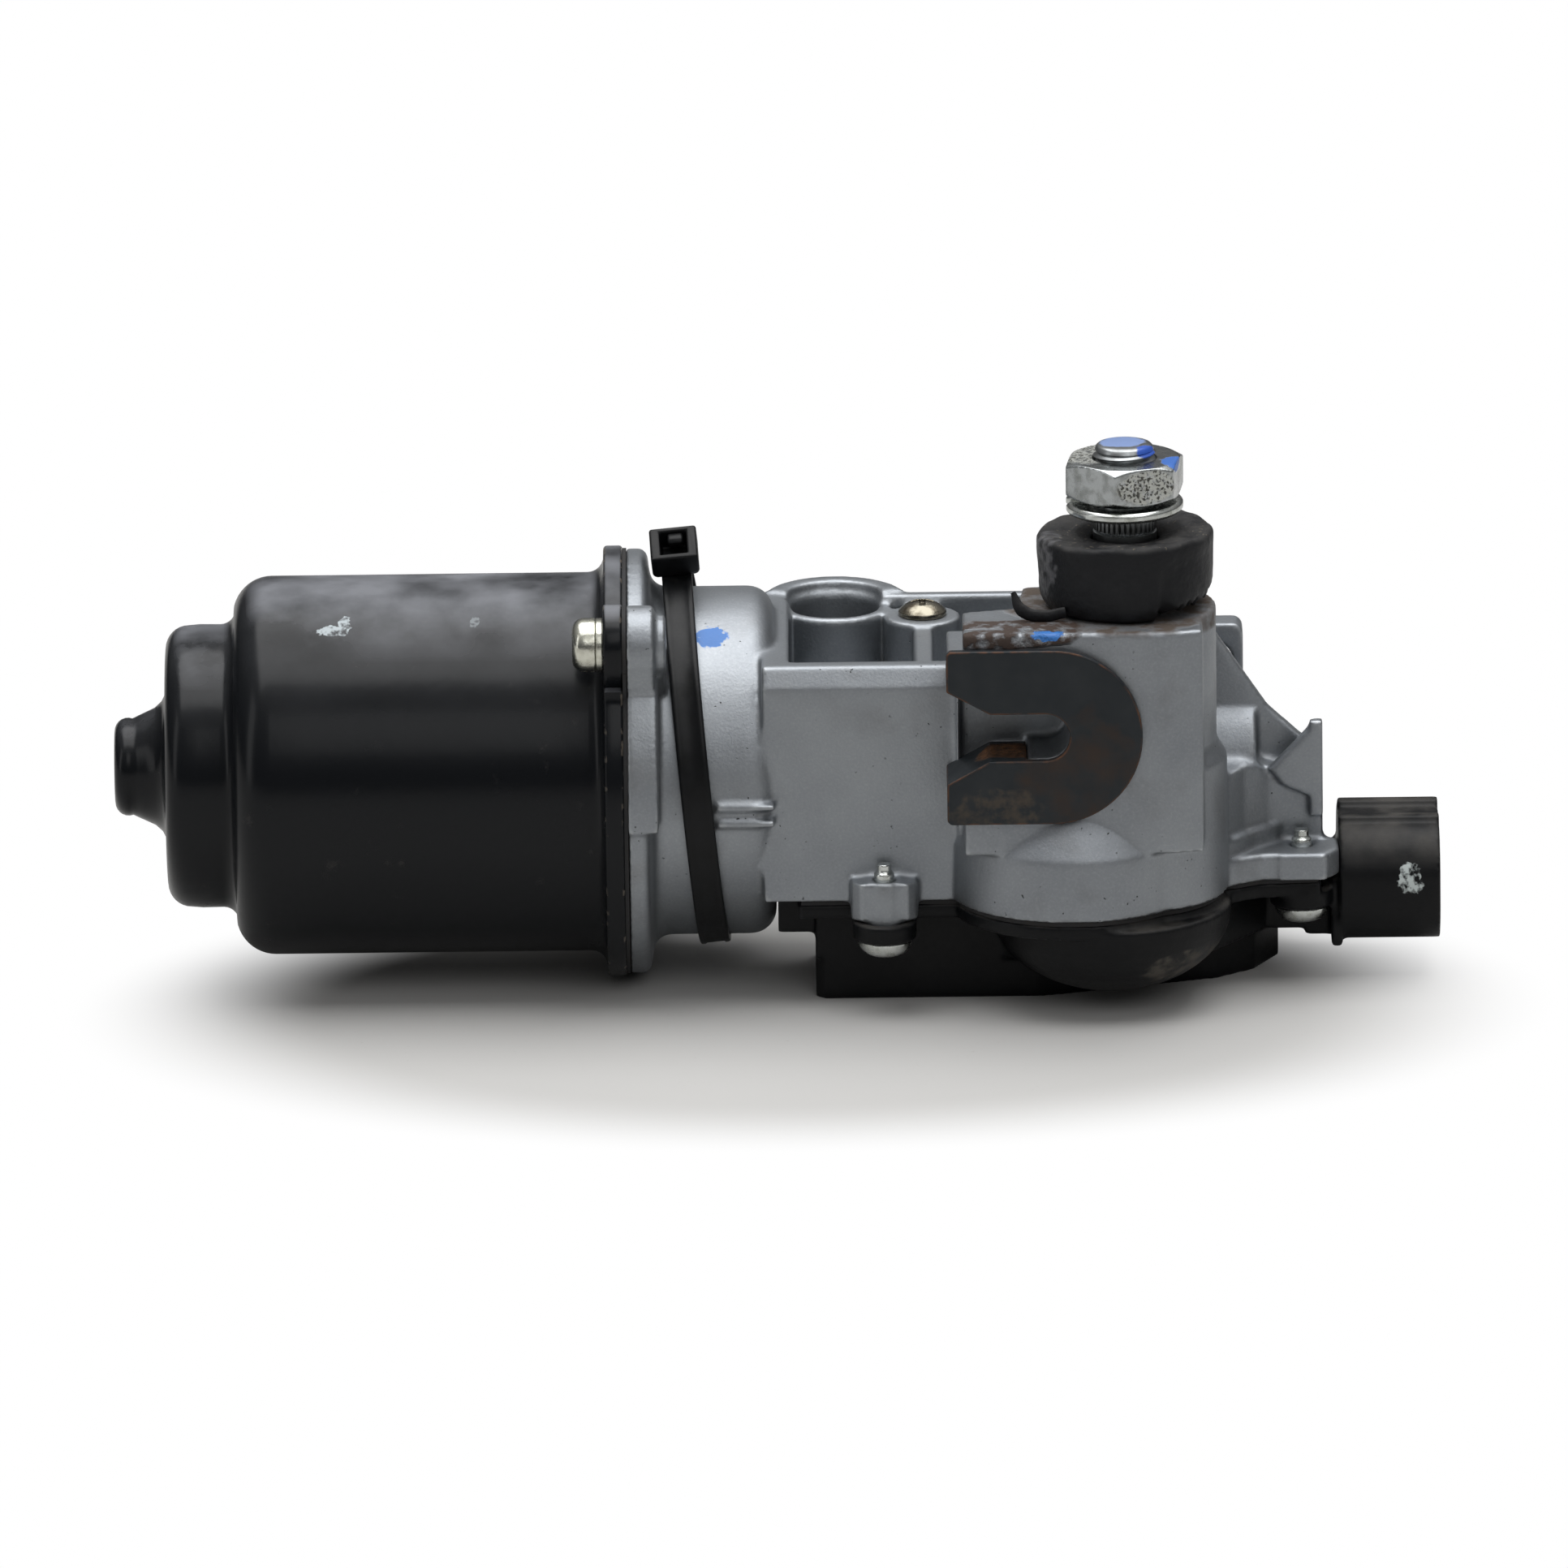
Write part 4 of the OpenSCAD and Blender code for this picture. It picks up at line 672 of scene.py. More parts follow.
def mark_relief(made, passes):
    """Stores how sharply the surface bends at each point, for wear on edges and for dirt with painted shade in
    corners: edges above 0, corners below.
    """
    mesh = made.data
    count = len(mesh.vertices)
    place_of = np.empty(count * 3, np.float32)
    normal_of = np.empty(count * 3, np.float32)
    pairs = np.empty(len(mesh.edges) * 2, np.int32)
    mesh.vertices.foreach_get("co", place_of)
    mesh.vertices.foreach_get("normal", normal_of)
    mesh.edges.foreach_get("vertices", pairs)
    place_of, normal_of, pairs = place_of.reshape(-1, 3), normal_of.reshape(-1, 3), pairs.reshape(-1, 2)
    first, second = pairs[:, 0], pairs[:, 1]
    step = place_of[second] - place_of[first]
    length = np.maximum((step ** 2).sum(1), 1e-12)
    bend_first = -(normal_of[first] * step).sum(1) / length
    bend_second = (normal_of[second] * step).sum(1) / length
    share = np.bincount(first, minlength=count) + np.bincount(second, minlength=count)
    share = np.maximum(share, 1)
    bend = np.bincount(first, bend_first, count) + np.bincount(second, bend_second, count)
    bend = np.clip(bend / share * MM, -3, 3)
    for _ in range(passes):
        around = np.bincount(first, bend[second], count) + np.bincount(second, bend[first], count)
        bend = 0.5 * bend + 0.5 * around / share
    layer = mesh.attributes.new("relief", "FLOAT", "POINT")
    layer.data.foreach_set("value", bend.astype(np.float32))
    return made


def soft_copy(name, node, voxel_mm, smoothing, most_faces, passes=2):
    """A copy of an engineering solid with its edges rounded, as casting and moulding leave them."""
    made = clean_copy(name, node)
    stack(made, "REMESH", "Round", mode="VOXEL", voxel_size=voxel_mm * MM, adaptivity=0)
    stack(made, "SMOOTH", "Wear", factor=0.5, iterations=smoothing)
    settle(made)
    triangles = 2 * len(made.data.polygons)
    if triangles > most_faces:
        stack(made, "DECIMATE", "Thin", ratio=most_faces / triangles)
        settle(made)
    made.data.shade_smooth()
    return mark_relief(made, passes)


def clean_copy(name, node):
    """A merged copy of an engineering solid."""
    mesh = frame["nodes"][node].data.copy()
    mesh.name = name
    mesh.materials.clear()
    made = piece(name, mesh)
    work = bmesh.new()
    work.from_mesh(mesh)
    bmesh.ops.remove_doubles(work, verts=work.verts, dist=1e-6)
    work.to_mesh(mesh)
    work.free()
    return made


def seat(made, slot, body, *nodes, material=None):
    """Gives a piece its finish and its body, and hides the engineering solids that it stands for."""
    made.data.materials.clear()
    made.data.materials.append(finish(material or slot))
    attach(made, body)
    if nodes:
        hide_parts(*nodes)
    return made


# ------------------------------------------------------------------- the can

EAR_ANGLES = (133.9, 313.9)
EAR_RING = 36.0
EAR_R = 6.3
# An ear's straight flanks start this far from the motor's line, this far apart from the ear's middle
FLANK_FROM = 20
FLANK_HALF = 13.0
ALONG_X = Matrix(((0, 0, 1, 0), (1, 0, 0, 0), (0, 1, 0, 0), (0, 0, 0, 1)))


def flange_reach(angle, radius, ear_r):
    """Distance in millimetres from the motor's line to the flange's outline, with its two screw ears."""
    reach = radius
    ray = Vector((math.cos(angle), math.sin(angle)))
    for degrees in EAR_ANGLES:
        turn = math.radians(degrees)
        middle = Vector((math.cos(turn), math.sin(turn))) * EAR_RING
        along = ray.dot(middle)
        across = middle.length_squared - along * along
        if along > 0 and across < ear_r * ear_r:
            reach = max(reach, along + math.sqrt(ear_r * ear_r - across))
        # Straight flank from the round flange to the ear
        local = math.remainder(angle - turn, math.tau)
        if abs(local) < 0.5:
            slope = (FLANK_HALF - ear_r) / (EAR_RING + 1 - FLANK_FROM)
            flank = (FLANK_HALF + slope * FLANK_FROM) / (math.sin(abs(local)) + slope * math.cos(local))
            end = EAR_RING / max(math.cos(local), 0.1)
            if flank < end:
                reach = max(reach, flank)
    return reach


def can_profile():
    """The can's wall from the flange to the tip outside, then back inside, as (radius, height) points."""
    tip = (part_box("yoke")[0].x - CROSSING.x) / MM
    flange_back = -78.5
    wall = 1.8
    can = bpy.context.scene.wiper_motor.can
    r = can.radius / MM
    rim = can.flange_radius / MM
    outside = [(rim - 0.5, flange_back)]
    outside += corner((rim - 0.5, flange_back - 0.5), 0.5, 90, 0, 3)[1:]
    outside += corner((rim - 0.6, flange_back - 2.4), 0.6, 0, -90, 4)
    outside += [(rim - 1.0, flange_back - 3.0)]
    outside += corner((r + 2.5, flange_back - 5.5), 2.5, 90, 180, 6)
    outside += [(r, z) for z in (-90, -100, -110, -120, -128)]
    outside += corner((r - 6.2, tip + 25.0), 6.2, 0, -74, 10)
    outside += corner((24.6, tip + 16.8), 2.4, 106, 178, 6)
    outside += [(22.25, tip + 13.6)]
    outside += corner((18.5, tip + 11.8), 3.6, 0, -88, 8)
    outside += [(14.2, tip + 8.1), (11.4, tip + 8.0), (10.2, tip + 7.4), (9.2, tip + 6.3)]
    outside += [(8.55, tip + 4.9), (8.0, tip + 3.7)]
    outside += corner((5.6, tip + 2.1), 2.1, 20, -90, 7)
    outside += [(3.0, tip + 0.05), (1.4, tip + 0.3), (0, tip + 0.4)]
    inside = [
        (0, tip + 1.9), (4.5, tip + 1.9), (5.9, tip + 3.2), (5.9, tip + 10), (20.2, tip + 10), (20.2, tip + 18),
        (r - 6.0, tip + 20.2), (r - 3.2, tip + 21.4), (r - wall, tip + 24.6), (r - wall, flange_back),
    ]
    return outside + inside


class WIPER_OT_can(bpy.types.Operator):
    """Draws the steel can with its stepped end, round flange and two screw ears"""

    bl_idname = "wiper.can"
    bl_label = "Motor can"

    def execute(self, context):
        can = context.scene.wiper_motor.can
        made = turned("can_shell", can_profile(), can.steps)
        rim = can.flange_radius / MM
        rim_band = 0.95
        for vertex in made.data.vertices:
            radius = math.hypot(vertex.co.x, vertex.co.y) / MM
            if radius > rim - rim_band:
                angle = math.atan2(vertex.co.y, vertex.co.x)
                grown = (radius + flange_reach(angle, rim, EAR_R) - rim) / radius
                vertex.co.x *= grown
                vertex.co.y *= grown
        # A deep-drawn wall is never quite true: it waves by up to 0.06 mm every 22 mm or so
        boss_edge, barrel_edge, barrel_start = 15, 29.75, -0.084
        for vertex in made.data.vertices:
            radius = math.hypot(vertex.co.x, vertex.co.y) / MM
            if boss_edge < radius < barrel_edge and vertex.co.z < barrel_start:
                wave = noise.noise(vertex.co * 45) * 0.00006
                vertex.co.x *= 1 - abs(wave) / (radius * MM)
                vertex.co.y *= 1 - abs(wave) / (radius * MM)
        place(made, Matrix.Translation(at(0, 0, 0)) @ ALONG_X)
        soften(made, 50)
        mark_relief(made, 1)
        seat(made, "can_paint", "housing", "yoke")
        return {"FINISHED"}


class WIPER_OT_can_screws(bpy.types.Operator):
    """Rounds the two pan-head screws and their washers that hold the can"""

    bl_idname = "wiper.can_screws"
    bl_label = "Can screws"

    def execute(self, context):
        heads = soft_copy("can_screw_heads", "yoke_screws", 0.16, 5, 90000)
        seat(heads, "zinc", "housing", "yoke_screws", material="warm_zinc")
        washers = soft_copy("can_screw_washers", "yoke_washers", 0.12, 3, 40000)
        seat(washers, "zinc", "housing", "yoke_washers", material="warm_zinc")
        return {"FINISHED"}


class WIPER_OT_housing(bpy.types.Operator):
    """Rounds the die-cast gear housing"""

    bl_idname = "wiper.housing"
    bl_label = "Gear housing"

    def execute(self, context):
        voxel = context.scene.wiper_motor.housing.voxel / MM
        made = soft_copy("housing_casting", "gear_housing", voxel, 5, 192000)
        seat(made, "cast_aluminium", "housing", "gear_housing")
        screw = soft_copy("housing_screw", "case_screw", 0.13, 4, 60000)
        seat(screw, "zinc", "housing", "case_screw", material="dirty_zinc")
        return {"FINISHED"}


class WIPER_OT_gear_cover(bpy.types.Operator):
    """Rounds the moulded gear cover and its screws"""

    bl_idname = "wiper.gear_cover"
    bl_label = "Gear cover"

    def execute(self, context):
        made = soft_copy("cover_moulding", "gear_cover", 0.42, 4, 190000)
        seat(made, "black_plastic", "housing", "gear_cover")
        screws = soft_copy("cover_screw_set", "cover_screws", 0.16, 4, 120000)
        seat(screws, "zinc", "housing", "cover_screws")
        return {"FINISHED"}


class WIPER_OT_fork_clip(bpy.types.Operator):
    """Rounds the pressed steel clip that lines the fork slot"""

    bl_idname = "wiper.fork_clip"
    bl_label = "Fork clip"

    def execute(self, context):
        made = soft_copy("fork_lining", "fork_clip", 0.2, 5, 120000)
        seat(made, "dark_steel", "housing", "fork_clip")
        return {"FINISHED"}


class WIPER_OT_cable_tie(bpy.types.Operator):
    """Draws the cable tie: a ribbed strap round the neck and its locking head"""

    bl_idname = "wiper.cable_tie"
    bl_label = "Cable tie"

    def execute(self, context):
        low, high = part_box("cable_tie")
        lean = Matrix.Translation(at(-67.1, 0, 0)) @ Matrix.Rotation(math.radians(-5.3), 4, "Y")
        tilt = Matrix.Translation((0, 0, 32.1 * MM)) @ Matrix.Rotation(math.radians(31), 4, "X")
        strap = place(self.strap(), lean)
        head = place(self.head(), lean @ tilt)
        made = join("tie", [strap, head])
        clip_to(made, low, high)
        mark_relief(made, 1)
        seat(made, "nylon", "housing", "cable_tie")
        return {"FINISHED"}

    def strap(self):
        """The strap from the head's front, down round the neck and up into the head again."""
        middle, front, back = 28.3, 27.2, 32.2
        route = [(-1.0, 31.3, front), (-6.0, 28.75, front)]
        route += [
            (-middle * math.sin(math.radians(a)), middle * math.cos(math.radians(a)), a)
            for a in np.arange(front, 360 - back, 3.0)
        ]
        route += [(15.08, 23.95, 360 - back), (8.4, 28.15, 360 - back), (1.8, 32.3, 360 - back)]
        # Section as (outwards, across): two smooth rails beside a sunk middle
        half, thick = 2.36, 0.56
        section = [
            (thick - 0.35, half), (thick - 0.1, half - 0.1), (thick, half - 0.4), (thick, half - 0.8),
            (thick - 0.17, half - 1.0), (thick - 0.17, 1.0 - half), (thick, 0.8 - half), (thick, 0.4 - half),
            (thick - 0.1, 0.1 - half), (thick - 0.35, -half), (-thick, -half), (-thick, half),
        ]
        points = []
        for y, z, angle in route:
            out = (-math.sin(math.radians(angle)), math.cos(math.radians(angle)))
            points += [(w * MM, (y + out[0] * n) * MM, (z + out[1] * n) * MM) for n, w in section]
        count = len(section)
        faces = [
            (k * count + i, k * count + (i + 1) % count, (k + 1) * count + (i + 1) % count, (k + 1) * count + i)
            for k in range(len(route) - 1) for i in range(count)
        ]
        last = (len(route) - 1) * count
        faces += [tuple(range(count)), tuple(range(last, last + count))]
        mesh = bpy.data.meshes.new("tie_strap")
        mesh.from_pydata(points, [], faces)
        return soften(clean(piece("tie_strap", mesh)), 50)

    def head(self):
        """A locking head as a cage: outer block, mouth, and the pawl that leans into it."""
        work = bmesh.new()
        outer = [(-3.7, -3.3), (3.7, -3.3), (3.7, 3.4), (-3.7, 3.4)]
        mouth = [(-2.1, -2.3), (2.1, -2.3), (2.1, 2.6), (-2.1, 2.6)]
        waist = [(-3.1, -2.7), (3.1, -2.7), (3.1, 2.8), (-3.1, 2.8)]
        rings = [(waist, 0.1), (outer, 1.0), (outer, 4.9), (mouth, 4.9), (mouth, 1.2)]
        loops = [[work.verts.new((x * MM, y * MM, z * MM)) for x, y in ring] for ring, z in rings]
        for a, b in zip(loops, loops[1:]):
            for i in range(4):
                work.faces.new((a[i], a[(i + 1) % 4], b[(i + 1) % 4], b[i]))
        work.faces.new(loops[0][::-1])
        work.faces.new(loops[-1])
        wedge = [(2.7, 2.2), (2.7, 4.3), (1.2, 4.5), (0.5, 3.9), (1.6, 2.2)]
        sides = [[work.verts.new((x * MM, y * MM, z * MM)) for y, z in wedge] for x in (-0.9, 1.5)]
        work.faces.new(sides[0])
        work.faces.new(sides[1][::-1])
        for i in range(len(wedge)):
            j = (i + 1) % len(wedge)
            work.faces.new((sides[0][i], sides[1][i], sides[1][j], sides[0][j]))
        bmesh.ops.recalc_face_normals(work, faces=work.faces)
        mesh = bpy.data.meshes.new("tie_head")
        work.to_mesh(mesh)
        work.free()
        made = piece("tie_head", mesh)
        stack(made, "BEVEL", "Round", width=0.5 * MM, segments=4, limit_method="ANGLE", angle_limit=0.5)
        settle(made)
        return soften(made, 35)


def join(name, parts):
    """Joins pieces into one mesh."""
    work = bmesh.new()
    for part in parts:
        work.from_mesh(part.data)
    mesh = bpy.data.meshes.new(name)
    work.to_mesh(mesh)
    work.free()
    for part in parts:
        old = part.data
        bpy.data.objects.remove(part)
        bpy.data.meshes.remove(old)
    return piece(name, mesh)


def clip_to(made, low, high):
    """Keeps every point of a piece inside a box, so that it never grows past its engineering solid."""
    for vertex in made.data.vertices:
        for i in range(3):
            vertex.co[i] = min(max(vertex.co[i], low[i]), high[i])
    return made


# ---------------------------------------------------- output shaft, nut, boot


class WIPER_OT_output_shaft(bpy.types.Operator):
    """Turns the output shaft and cuts its screw thread and its serrations"""

    bl_idname = "wiper.output_shaft"
    bl_label = "Output shaft"

    def execute(self, context):
        shaft = context.scene.wiper_motor.shaft
        tip = (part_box("output_shaft")[1].z - CROSSING.z) / MM
        root, crest = 4.22, 4.93
        pitch = shaft.thread_pitch / MM
        core = [
            (0, tip), (3.3, tip), (4.1, tip - 0.12), (4.42, tip - 0.4), (4.6, tip - 0.9), (root, tip - 1.3),
            (root, 46.2), (4.62, 46.0), (4.62, 42.0), (4.97, 41.8), (4.97, 37.3), (4.3, 37.3), (4.3, 36.1),
            (4.97, 36.1), (4.97, -11.6), (4.5, -12), (0, -12),
        ]
        body = turned("shaft_core", core, 96, closed=False)
        start = 46.4
        turns = int((tip - 1.2 - start) / pitch)
        ridge = bpy.data.meshes.new("shaft_ridge")
        tooth = [
            (root - 0.05, pitch), (crest - 0.1, pitch * 0.62), (crest, pitch * 0.52),
            (crest - 0.1, pitch * 0.4), (root - 0.05, 0),
        ]
        ridge.from_pydata([(r * MM, 0, (start + z) * MM) for r, z in tooth], [(i, i + 1) for i in range(4)], [])
        thread = piece("shaft_ridge", ridge)
        stack(
            thread, "SCREW", "Thread", axis="Z", angle=math.tau, screw_offset=pitch * MM, iterations=turns,
            steps=48, render_steps=48, use_smooth_shade=True,
        )
        settle(thread)
        clean(thread, 1e-7)
        splines = self.splines()
        made = join("shaft_turned", [body, thread, splines])
        place(made, Matrix.Translation(at(0, SHAFT_Y, 0)))
        soften(made, 35)
        mark_relief(made, 1)
        seat(made, "shaft_steel", "output", "output_shaft")
        return {"FINISHED"}

    def splines(self):
        """The ring of fine serrations that grips the crank arm."""
        count = 36
        points = []
        for z, shrink in ((42.0, 0.35), (42.3, 0.0), (45.6, 0.0), (45.95, 0.35)):
            for i in range(count):
                for offset, radius in ((0, 4.66), (2.5, 4.96), (5, 5.0), (7.5, 4.96)):
                    angle = math.radians(i * 10 + offset)
                    reach = (radius - shrink if radius > 4.7 else radius) * MM
                    points.append((reach * math.cos(angle), reach * math.sin(angle), z * MM))
        ring = count * 4
        faces = [
            (k * ring + i, k * ring + (i + 1) % ring, (k + 1) * ring + (i + 1) % ring, (k + 1) * ring + i)
            for k in range(3) for i in range(ring)
        ]
        mesh = bpy.data.meshes.new("shaft_splines")
        mesh.from_pydata(points, [], faces)
        return clean(piece("shaft_splines", mesh))


class WIPER_OT_nut_and_washer(bpy.types.Operator):
    """Rounds the hexagon nut and coils the split spring washer under it"""

    bl_idname = "wiper.nut_and_washer"
    bl_label = "Nut and washer"

    def execute(self, context):
        nut = soft_copy("shaft_nut", "output_nut", 0.15, 3, 110000)
        seat(nut, "zinc", "output", "output_nut", material="nut_zinc")
        low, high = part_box("spring_washer")
        rise = context.scene.wiper_motor.shaft.washer_rise / MM
        bottom = (low.z - CROSSING.z) / MM
        height = (high.z - low.z) / MM - rise
        inner, outer, chamfer = 5.4, 9.15, 0.45
        section = [
            (inner + 0.2, bottom + height), (outer - chamfer, bottom + height),
            (outer, bottom + height - chamfer), (outer, bottom + chamfer), (outer - chamfer, bottom),
            (inner + 0.2, bottom), (inner, bottom + 0.2), (inner, bottom + height - 0.2),
        ]
        mesh = bpy.data.meshes.new("washer_coil")
        mesh.from_pydata([(r * MM, 0, z * MM) for r, z in section], [(i, (i + 1) % 8) for i in range(8)], [])
        made = piece("washer_coil", mesh)
        stack(
            made, "SCREW", "Coil", axis="Z", angle=math.radians(352), screw_offset=rise * MM,
            steps=96, render_steps=96, use_smooth_shade=True,
        )
        settle(made)
        work = bmesh.new()
        work.from_mesh(made.data)
        bmesh.ops.holes_fill(work, edges=[e for e in work.edges if e.is_boundary])
        bmesh.ops.recalc_face_normals(work, faces=work.faces)
        work.to_mesh(made.data)
        work.free()
        place(made, Matrix.Translation(at(0, SHAFT_Y, 0)) @ Matrix.Rotation(math.radians(184), 4, "Z"))
        stack(made, "BEVEL", "Round", width=0.12 * MM, segments=2, limit_method="ANGLE", angle_limit=0.5)
        settle(made)
        soften(made, 35)
        mark_relief(made, 1)
        seat(made, "zinc", "output", "spring_washer")
        return {"FINISHED"}


class WIPER_OT_boot(bpy.types.Operator):
    """Models the aged rubber boot with its sunken top, its fold and its torn skirt"""

    bl_idname = "wiper.boot"
    bl_label = "Rubber boot"

    def execute(self, context):
        low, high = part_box("shaft_boot")
        base = (low.z - CROSSING.z) / MM
        top = (high.z - CROSSING.z) / MM
        r = (high.x - low.x) / 2 / MM
        profile = [(5.15, top - 2.4), (5.3, top - 1.6), (6.0, top - 1.1), (7.4, top - 0.8), (8.8, top - 0.55)]
        profile += [(10.4, top - 0.3), (11.6, top - 0.1)]
        profile += corner((r - 1.15, top - 1.15), 1.15, 85, 0, 5)
        profile += [(r, top - 5.0), (r - 0.05, top - 7.4), (r - 0.1, base + 2.6), (r - 0.4, base + 1.2)]
        profile += [(r - 1.1, base + 0.3), (r - 2.2, base + 0.1), (9.3, base + 0.1), (9.2, base + 7.4)]
        profile += [(7.1, top - 3.6)]
        skin = turned("boot_skin", profile, 112)
        stack(skin, "SUBSURF", "Smooth", levels=1, render_levels=1)
        settle(skin)
        for vertex in skin.data.vertices:
            self.age(vertex, base, top)
        place(skin, Matrix.Translation(at(0, SHAFT_Y, 0)))
        clip_to(skin, low, high)
        made = join("boot", [skin, self.flap()])
        made.data.shade_smooth()
        mark_relief(made, 1)
        seat(made, "boot_rubber", "housing", "shaft_boot")
        return {"FINISHED"}

    def age(self, vertex, base, top):
        """Moves one point as the years have moved the rubber."""
        point = vertex.co / MM
        radius = math.hypot(point.x, point.y)
        if radius < 8.5:
            return
        angle = math.degrees(math.atan2(point.y, point.x))
        height = (point.z - base) / (top - base)
        lump = 0.28 * noise.noise(point * 0.16) + 0.12 * noise.noise(point * 0.5)
        # The left half has slumped, the right half stands out
        left = max(0.0, -math.cos(math.radians(angle)))
        slump = -0.35 * left * (1 - height) ** 2
        # A vertical fold in front, right of the middle, and a soft crease under the shoulder
        fold = -0.8 * math.exp(-((angle + 64) / 4.0) ** 2) * max(0.0, 1 - height * 1.25)
        crease = -0.35 * math.exp(-((height - 0.7) / 0.05) ** 2) * max(0.0, -math.sin(math.radians(angle)))
        grown = 1 + (lump + slump + fold + crease - 0.12) / radius
        vertex.co.x *= grown
        vertex.co.y *= grown
        if height > 0.6:
            vertex.co.z -= (0.8 * left + 0.35 * noise.noise(point * 0.3)) * (height - 0.6) / 0.4 * MM
        # The skirt is torn short on the right
        torn = max(0.0, math.cos(math.radians(angle + 12))) ** 1.5 if angle > -68 else 0.0
        if height < 0.35:
            vertex.co.z += torn * (0.35 - height) * 8.5 * MM * (0.8 + 0.7 * noise.noise(point * 0.8))

    def flap(self):
        """A torn sliver of the skirt that curls up at the left."""
        curve = bpy.data.curves.new("boot_flap", "CURVE")
        curve.dimensions = "3D"
        curve.bevel_depth = 0.9 * MM
        curve.bevel_resolution = 3
        spline = curve.splines.new("BEZIER")
        route = [
            (-9.5, -28.2, 31.2, 1.0), (-13.2, -28.6, 30.7, 1.1),
            (-16.2, -28.2, 31.6, 1.15), (-17.6, -27.4, 34.4, 0.45),
        ]
        spline.bezier_points.add(len(route) - 1)
        for point, (x, y, z, width) in zip(spline.bezier_points, route):
            point.co = at(x, y, z)
            point.radius = width
            point.handle_left_type = point.handle_right_type = "AUTO"
        drawn = bpy.data.objects.new("boot_flap", curve)
        bpy.context.scene.collection.objects.link(drawn)
        graph = bpy.context.evaluated_depsgraph_get()
        mesh = bpy.data.meshes.new_from_object(drawn.evaluated_get(graph))
        bpy.data.objects.remove(drawn)
        bpy.data.curves.remove(curve)
        made = clean(piece("boot_flap", mesh))
        # Flatten it to a leaf
        middle = at(-14, -28.2, 32)
        for vertex in made.data.vertices:
            vertex.co.y = middle.y + (vertex.co.y - middle.y) * 0.45
        return made


class WIPER_OT_internals(bpy.types.Operator):
    """Gives every piece that keeps its engineering shape its real finish"""

    bl_idname = "wiper.internals"
    bl_label = "Gears, armature, seals"

    def execute(self, context):
        hidden = {
            "yoke", "yoke_screws", "yoke_washers", "gear_housing", "case_screw", "gear_cover", "cover_screws",
            "fork_clip", "cable_tie", "output_shaft", "output_nut", "spring_washer", "shaft_boot",
        }
        slot_of = {}
        for entry in frame["record"]["materials"]:
            for name in entry.get("nodes", []):
                slot_of[name] = entry["slot"]
        for name, node in frame["nodes"].items():
            if name in hidden:
                continue
            slot = slot_of.get(name) or node.data.materials[0].name
            if slot not in SPECIAL and slot not in PLAIN:
                raise RuntimeError(f"no finish for {name}, slot {slot}")
            for held in node.material_slots:
                held.material = finish(slot)
        return {"FINISHED"}


# --------------------------------------------------------------------- stage


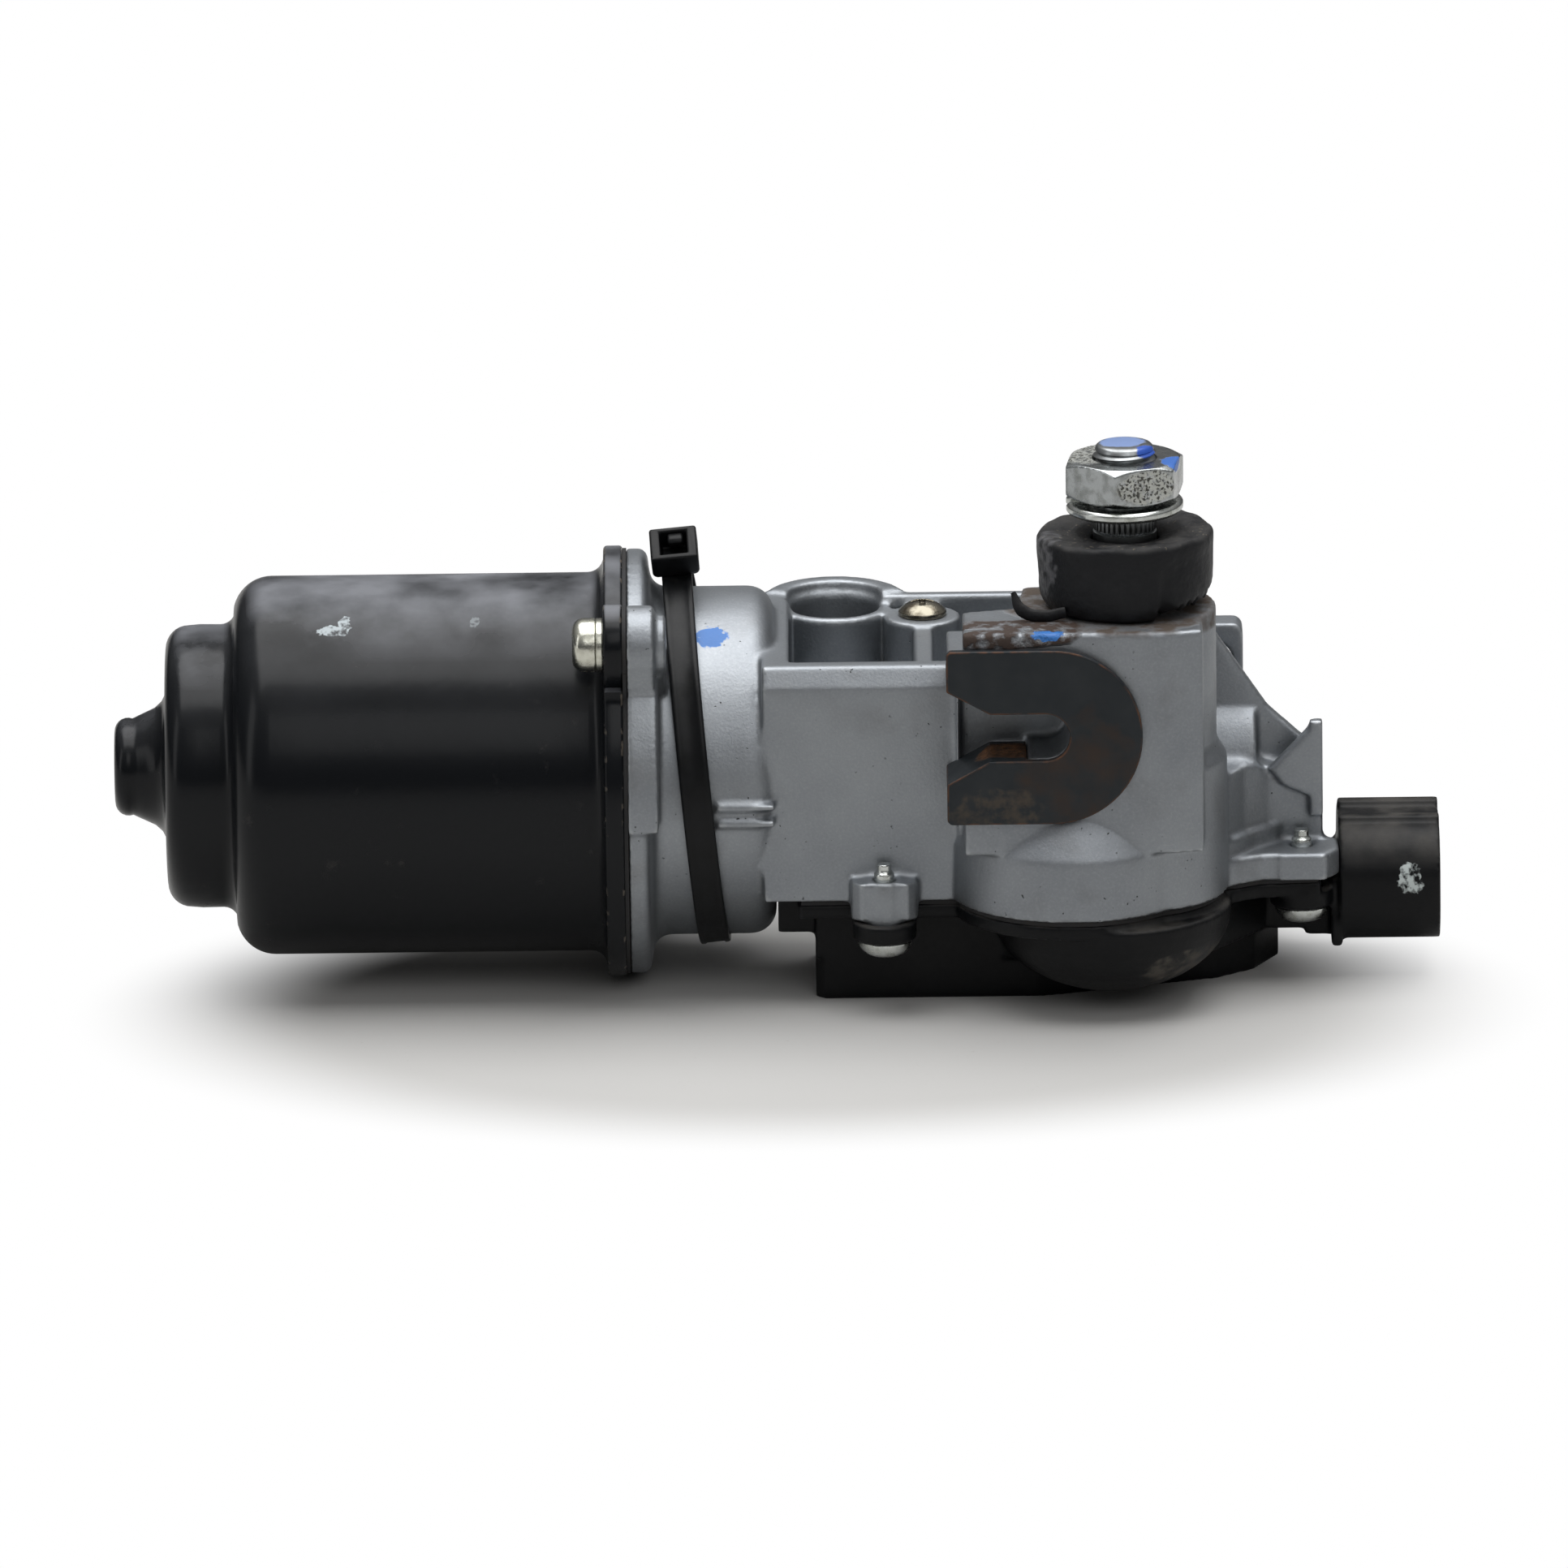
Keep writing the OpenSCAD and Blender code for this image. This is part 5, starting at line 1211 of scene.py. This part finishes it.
class WIPER_OT_stage(bpy.types.Operator):
    """Lays the pale floor and sets the lights, the room and the camera"""

    bl_idname = "wiper.stage"
    bl_label = "Floor, lights and camera"

    def execute(self, context):
        stage = context.scene.wiper_motor.stage
        self.floor(stage)
        self.light("soft_box_above", (0.0, 0.1, 1.2), (1.5, 1.3), stage.top_light)
        self.light("soft_box_front", (0.45, -1.3, 1.05), (1.5, 0.8), stage.front_light)
        self.light("strip_left", (-1.1, -0.45, 0.45), (0.35, 0.9), stage.side_light)
        world = bpy.data.worlds.new("room")
        context.scene.world = world
        world.use_nodes = True
        tree = world.node_tree
        toward = add(tree, "ShaderNodeTexCoord").outputs["Generated"]
        height = add(tree, "ShaderNodeSeparateXYZ", {0: toward}).outputs["Z"]
        share = add(tree, "ShaderNodeMapRange", {"Value": height, "From Min": 0.05, "From Max": 0.9}).outputs[0]
        room = cover(tree, linear("#4a4b4d"), [(share, linear("#ffffff"))])
        tree.nodes["Background"].inputs["Strength"].default_value = stage.surroundings
        tree.links.new(room, tree.nodes["Background"].inputs["Color"])
        context.scene.view_settings.view_transform = "Standard"
        self.camera(context, stage)
        return {"FINISHED"}

    def floor(self, stage):
        """A pale floor, painted grey with shadow close to the motor, that fades to plain white a hand's width
        from the motor.
        """
        mesh = bpy.data.meshes.new("floor")
        wide = 12.0
        corners = [(-wide, -wide, 0), (wide, -wide, 0), (wide, wide, 0), (-wide, wide, 0)]
        mesh.from_pydata(corners, [], [(0, 1, 2, 3)])
        made = piece("floor", mesh)
        material, tree, shader, coords = start_finish("Matt white board", metallic=0.0, roughness=0.9)
        # The grey patch of painted shadow around the motor is an oval, in metres
        middle, half_length, half_width = (0.005, -0.022, 0), 0.105, 0.07
        away = add(tree, "ShaderNodeVectorMath", {0: coords, 1: middle}, operation="SUBTRACT")
        scaled = add(
            tree, "ShaderNodeVectorMath", {0: away.outputs[0], 1: (1 / half_length, 1 / half_width, 1)},
            operation="MULTIPLY",
        )
        reach = add(tree, "ShaderNodeVectorMath", {0: scaled.outputs[0]}, operation="LENGTH")
        white = add(
            tree, "ShaderNodeMapRange", {"Value": reach.outputs["Value"], "From Min": 0.72, "From Max": 1.12},
            interpolation_type="SMOOTHSTEP",
        ).outputs[0]
        smudge = both(
            tree, clouds(tree, coords, 9.0, 0.5, 0.75, 8.0, 1.0),
            clouds(tree, coords, 0.8, 0.6, 0.72, 4.0, 2.0), 0.35,
        )
        # The floor's grey near the motor is painted shadow, with real specks of dirt over it
        near = cover(tree, tuple(stage.floor_and_shadow_colour) + (1.0,), [(smudge, linear("#8d8a87"))])
        wire(tree, shader, Base_Color=near)
        glow = add(tree, "ShaderNodeEmission", {"Color": (1, 1, 1, 1), "Strength": 1.0})
        seen = add(tree, "ShaderNodeLightPath").outputs["Is Camera Ray"]
        mixed = add(
            tree, "ShaderNodeMixShader", {0: both(tree, white, seen), 1: shader.outputs[0], 2: glow.outputs[0]}
        )
        tree.links.new(mixed.outputs[0], tree.nodes["Material Output"].inputs["Surface"])
        mesh.materials.append(material)

    def light(self, name, where, size, power):
        """A soft box that faces the motor."""
        data = bpy.data.lights.new(name, "AREA")
        data.shape = "RECTANGLE"
        data.size, data.size_y = size
        data.energy = power
        lamp = bpy.data.objects.new(name, data)
        bpy.context.scene.collection.objects.link(lamp)
        lamp.location = where
        aim = Vector((0, 0, 0.03)) - Vector(where)
        lamp.rotation_euler = aim.to_track_quat("-Z", "Y").to_euler()

    def camera(self, context, stage):
        """A long lens in front of the motor, a little above it."""
        data = bpy.data.cameras.new("camera")
        data.sensor_width = 36.0
        data.lens = stage.focal_length
        data.clip_start = 0.1
        data.clip_end = 50.0
        made = bpy.data.objects.new("camera", data)
        context.scene.collection.objects.link(made)
        target = at(-53.56, 0, -4.11)
        back = Vector((0, -math.cos(stage.elevation), math.sin(stage.elevation)))
        turn = Matrix.Rotation(math.pi / 2 - stage.elevation, 4, "X") @ Matrix.Rotation(stage.roll, 4, "Z")
        made.matrix_world = Matrix.Translation(target + back * stage.distance) @ turn
        context.scene.camera = made


# --------------------------------------------------------------------- panel


class MotorSettings(bpy.types.PropertyGroup):
    """Everything that a user may change."""

    stage: PointerProperty(type=StageSettings)
    can: PointerProperty(type=CanSettings)
    housing: PointerProperty(type=HousingSettings)
    shaft: PointerProperty(type=ShaftSettings)


class WIPER_PT_sidebar(bpy.types.Panel):
    """Lists the pieces and their settings"""

    bl_idname = "WIPER_PT_sidebar"
    bl_label = "Wiper motor"
    bl_space_type = "VIEW_3D"
    bl_region_type = "UI"
    bl_category = "Wiper motor"

    def draw(self, context):
        settings = context.scene.wiper_motor
        for group in (settings.stage, settings.can, settings.housing, settings.shaft):
            box = self.layout.box()
            for name in group.bl_rna.properties.keys():
                if name not in ("rna_type", "name"):
                    box.prop(group, name)
        for operator in OPERATORS:
            self.layout.operator(operator.bl_idname)


OPERATORS = (
    WIPER_OT_stage, WIPER_OT_can, WIPER_OT_can_screws, WIPER_OT_housing, WIPER_OT_gear_cover,
    WIPER_OT_fork_clip, WIPER_OT_cable_tie, WIPER_OT_output_shaft, WIPER_OT_nut_and_washer, WIPER_OT_boot,
    WIPER_OT_internals,
)
SETTINGS = (StageSettings, CanSettings, HousingSettings, ShaftSettings, MotorSettings)
CLASSES = SETTINGS + OPERATORS + (WIPER_PT_sidebar,)


def register():
    for kind in CLASSES:
        bpy.utils.register_class(kind)
    bpy.types.Scene.wiper_motor = PointerProperty(type=MotorSettings)


def unregister():
    del bpy.types.Scene.wiper_motor
    for kind in reversed(CLASSES):
        bpy.utils.unregister_class(kind)


def main():
    register()
    for operator in OPERATORS:
        group, action = operator.bl_idname.split(".")
        getattr(getattr(bpy.ops, group), action)()


if __name__ == "__main__":
    main()
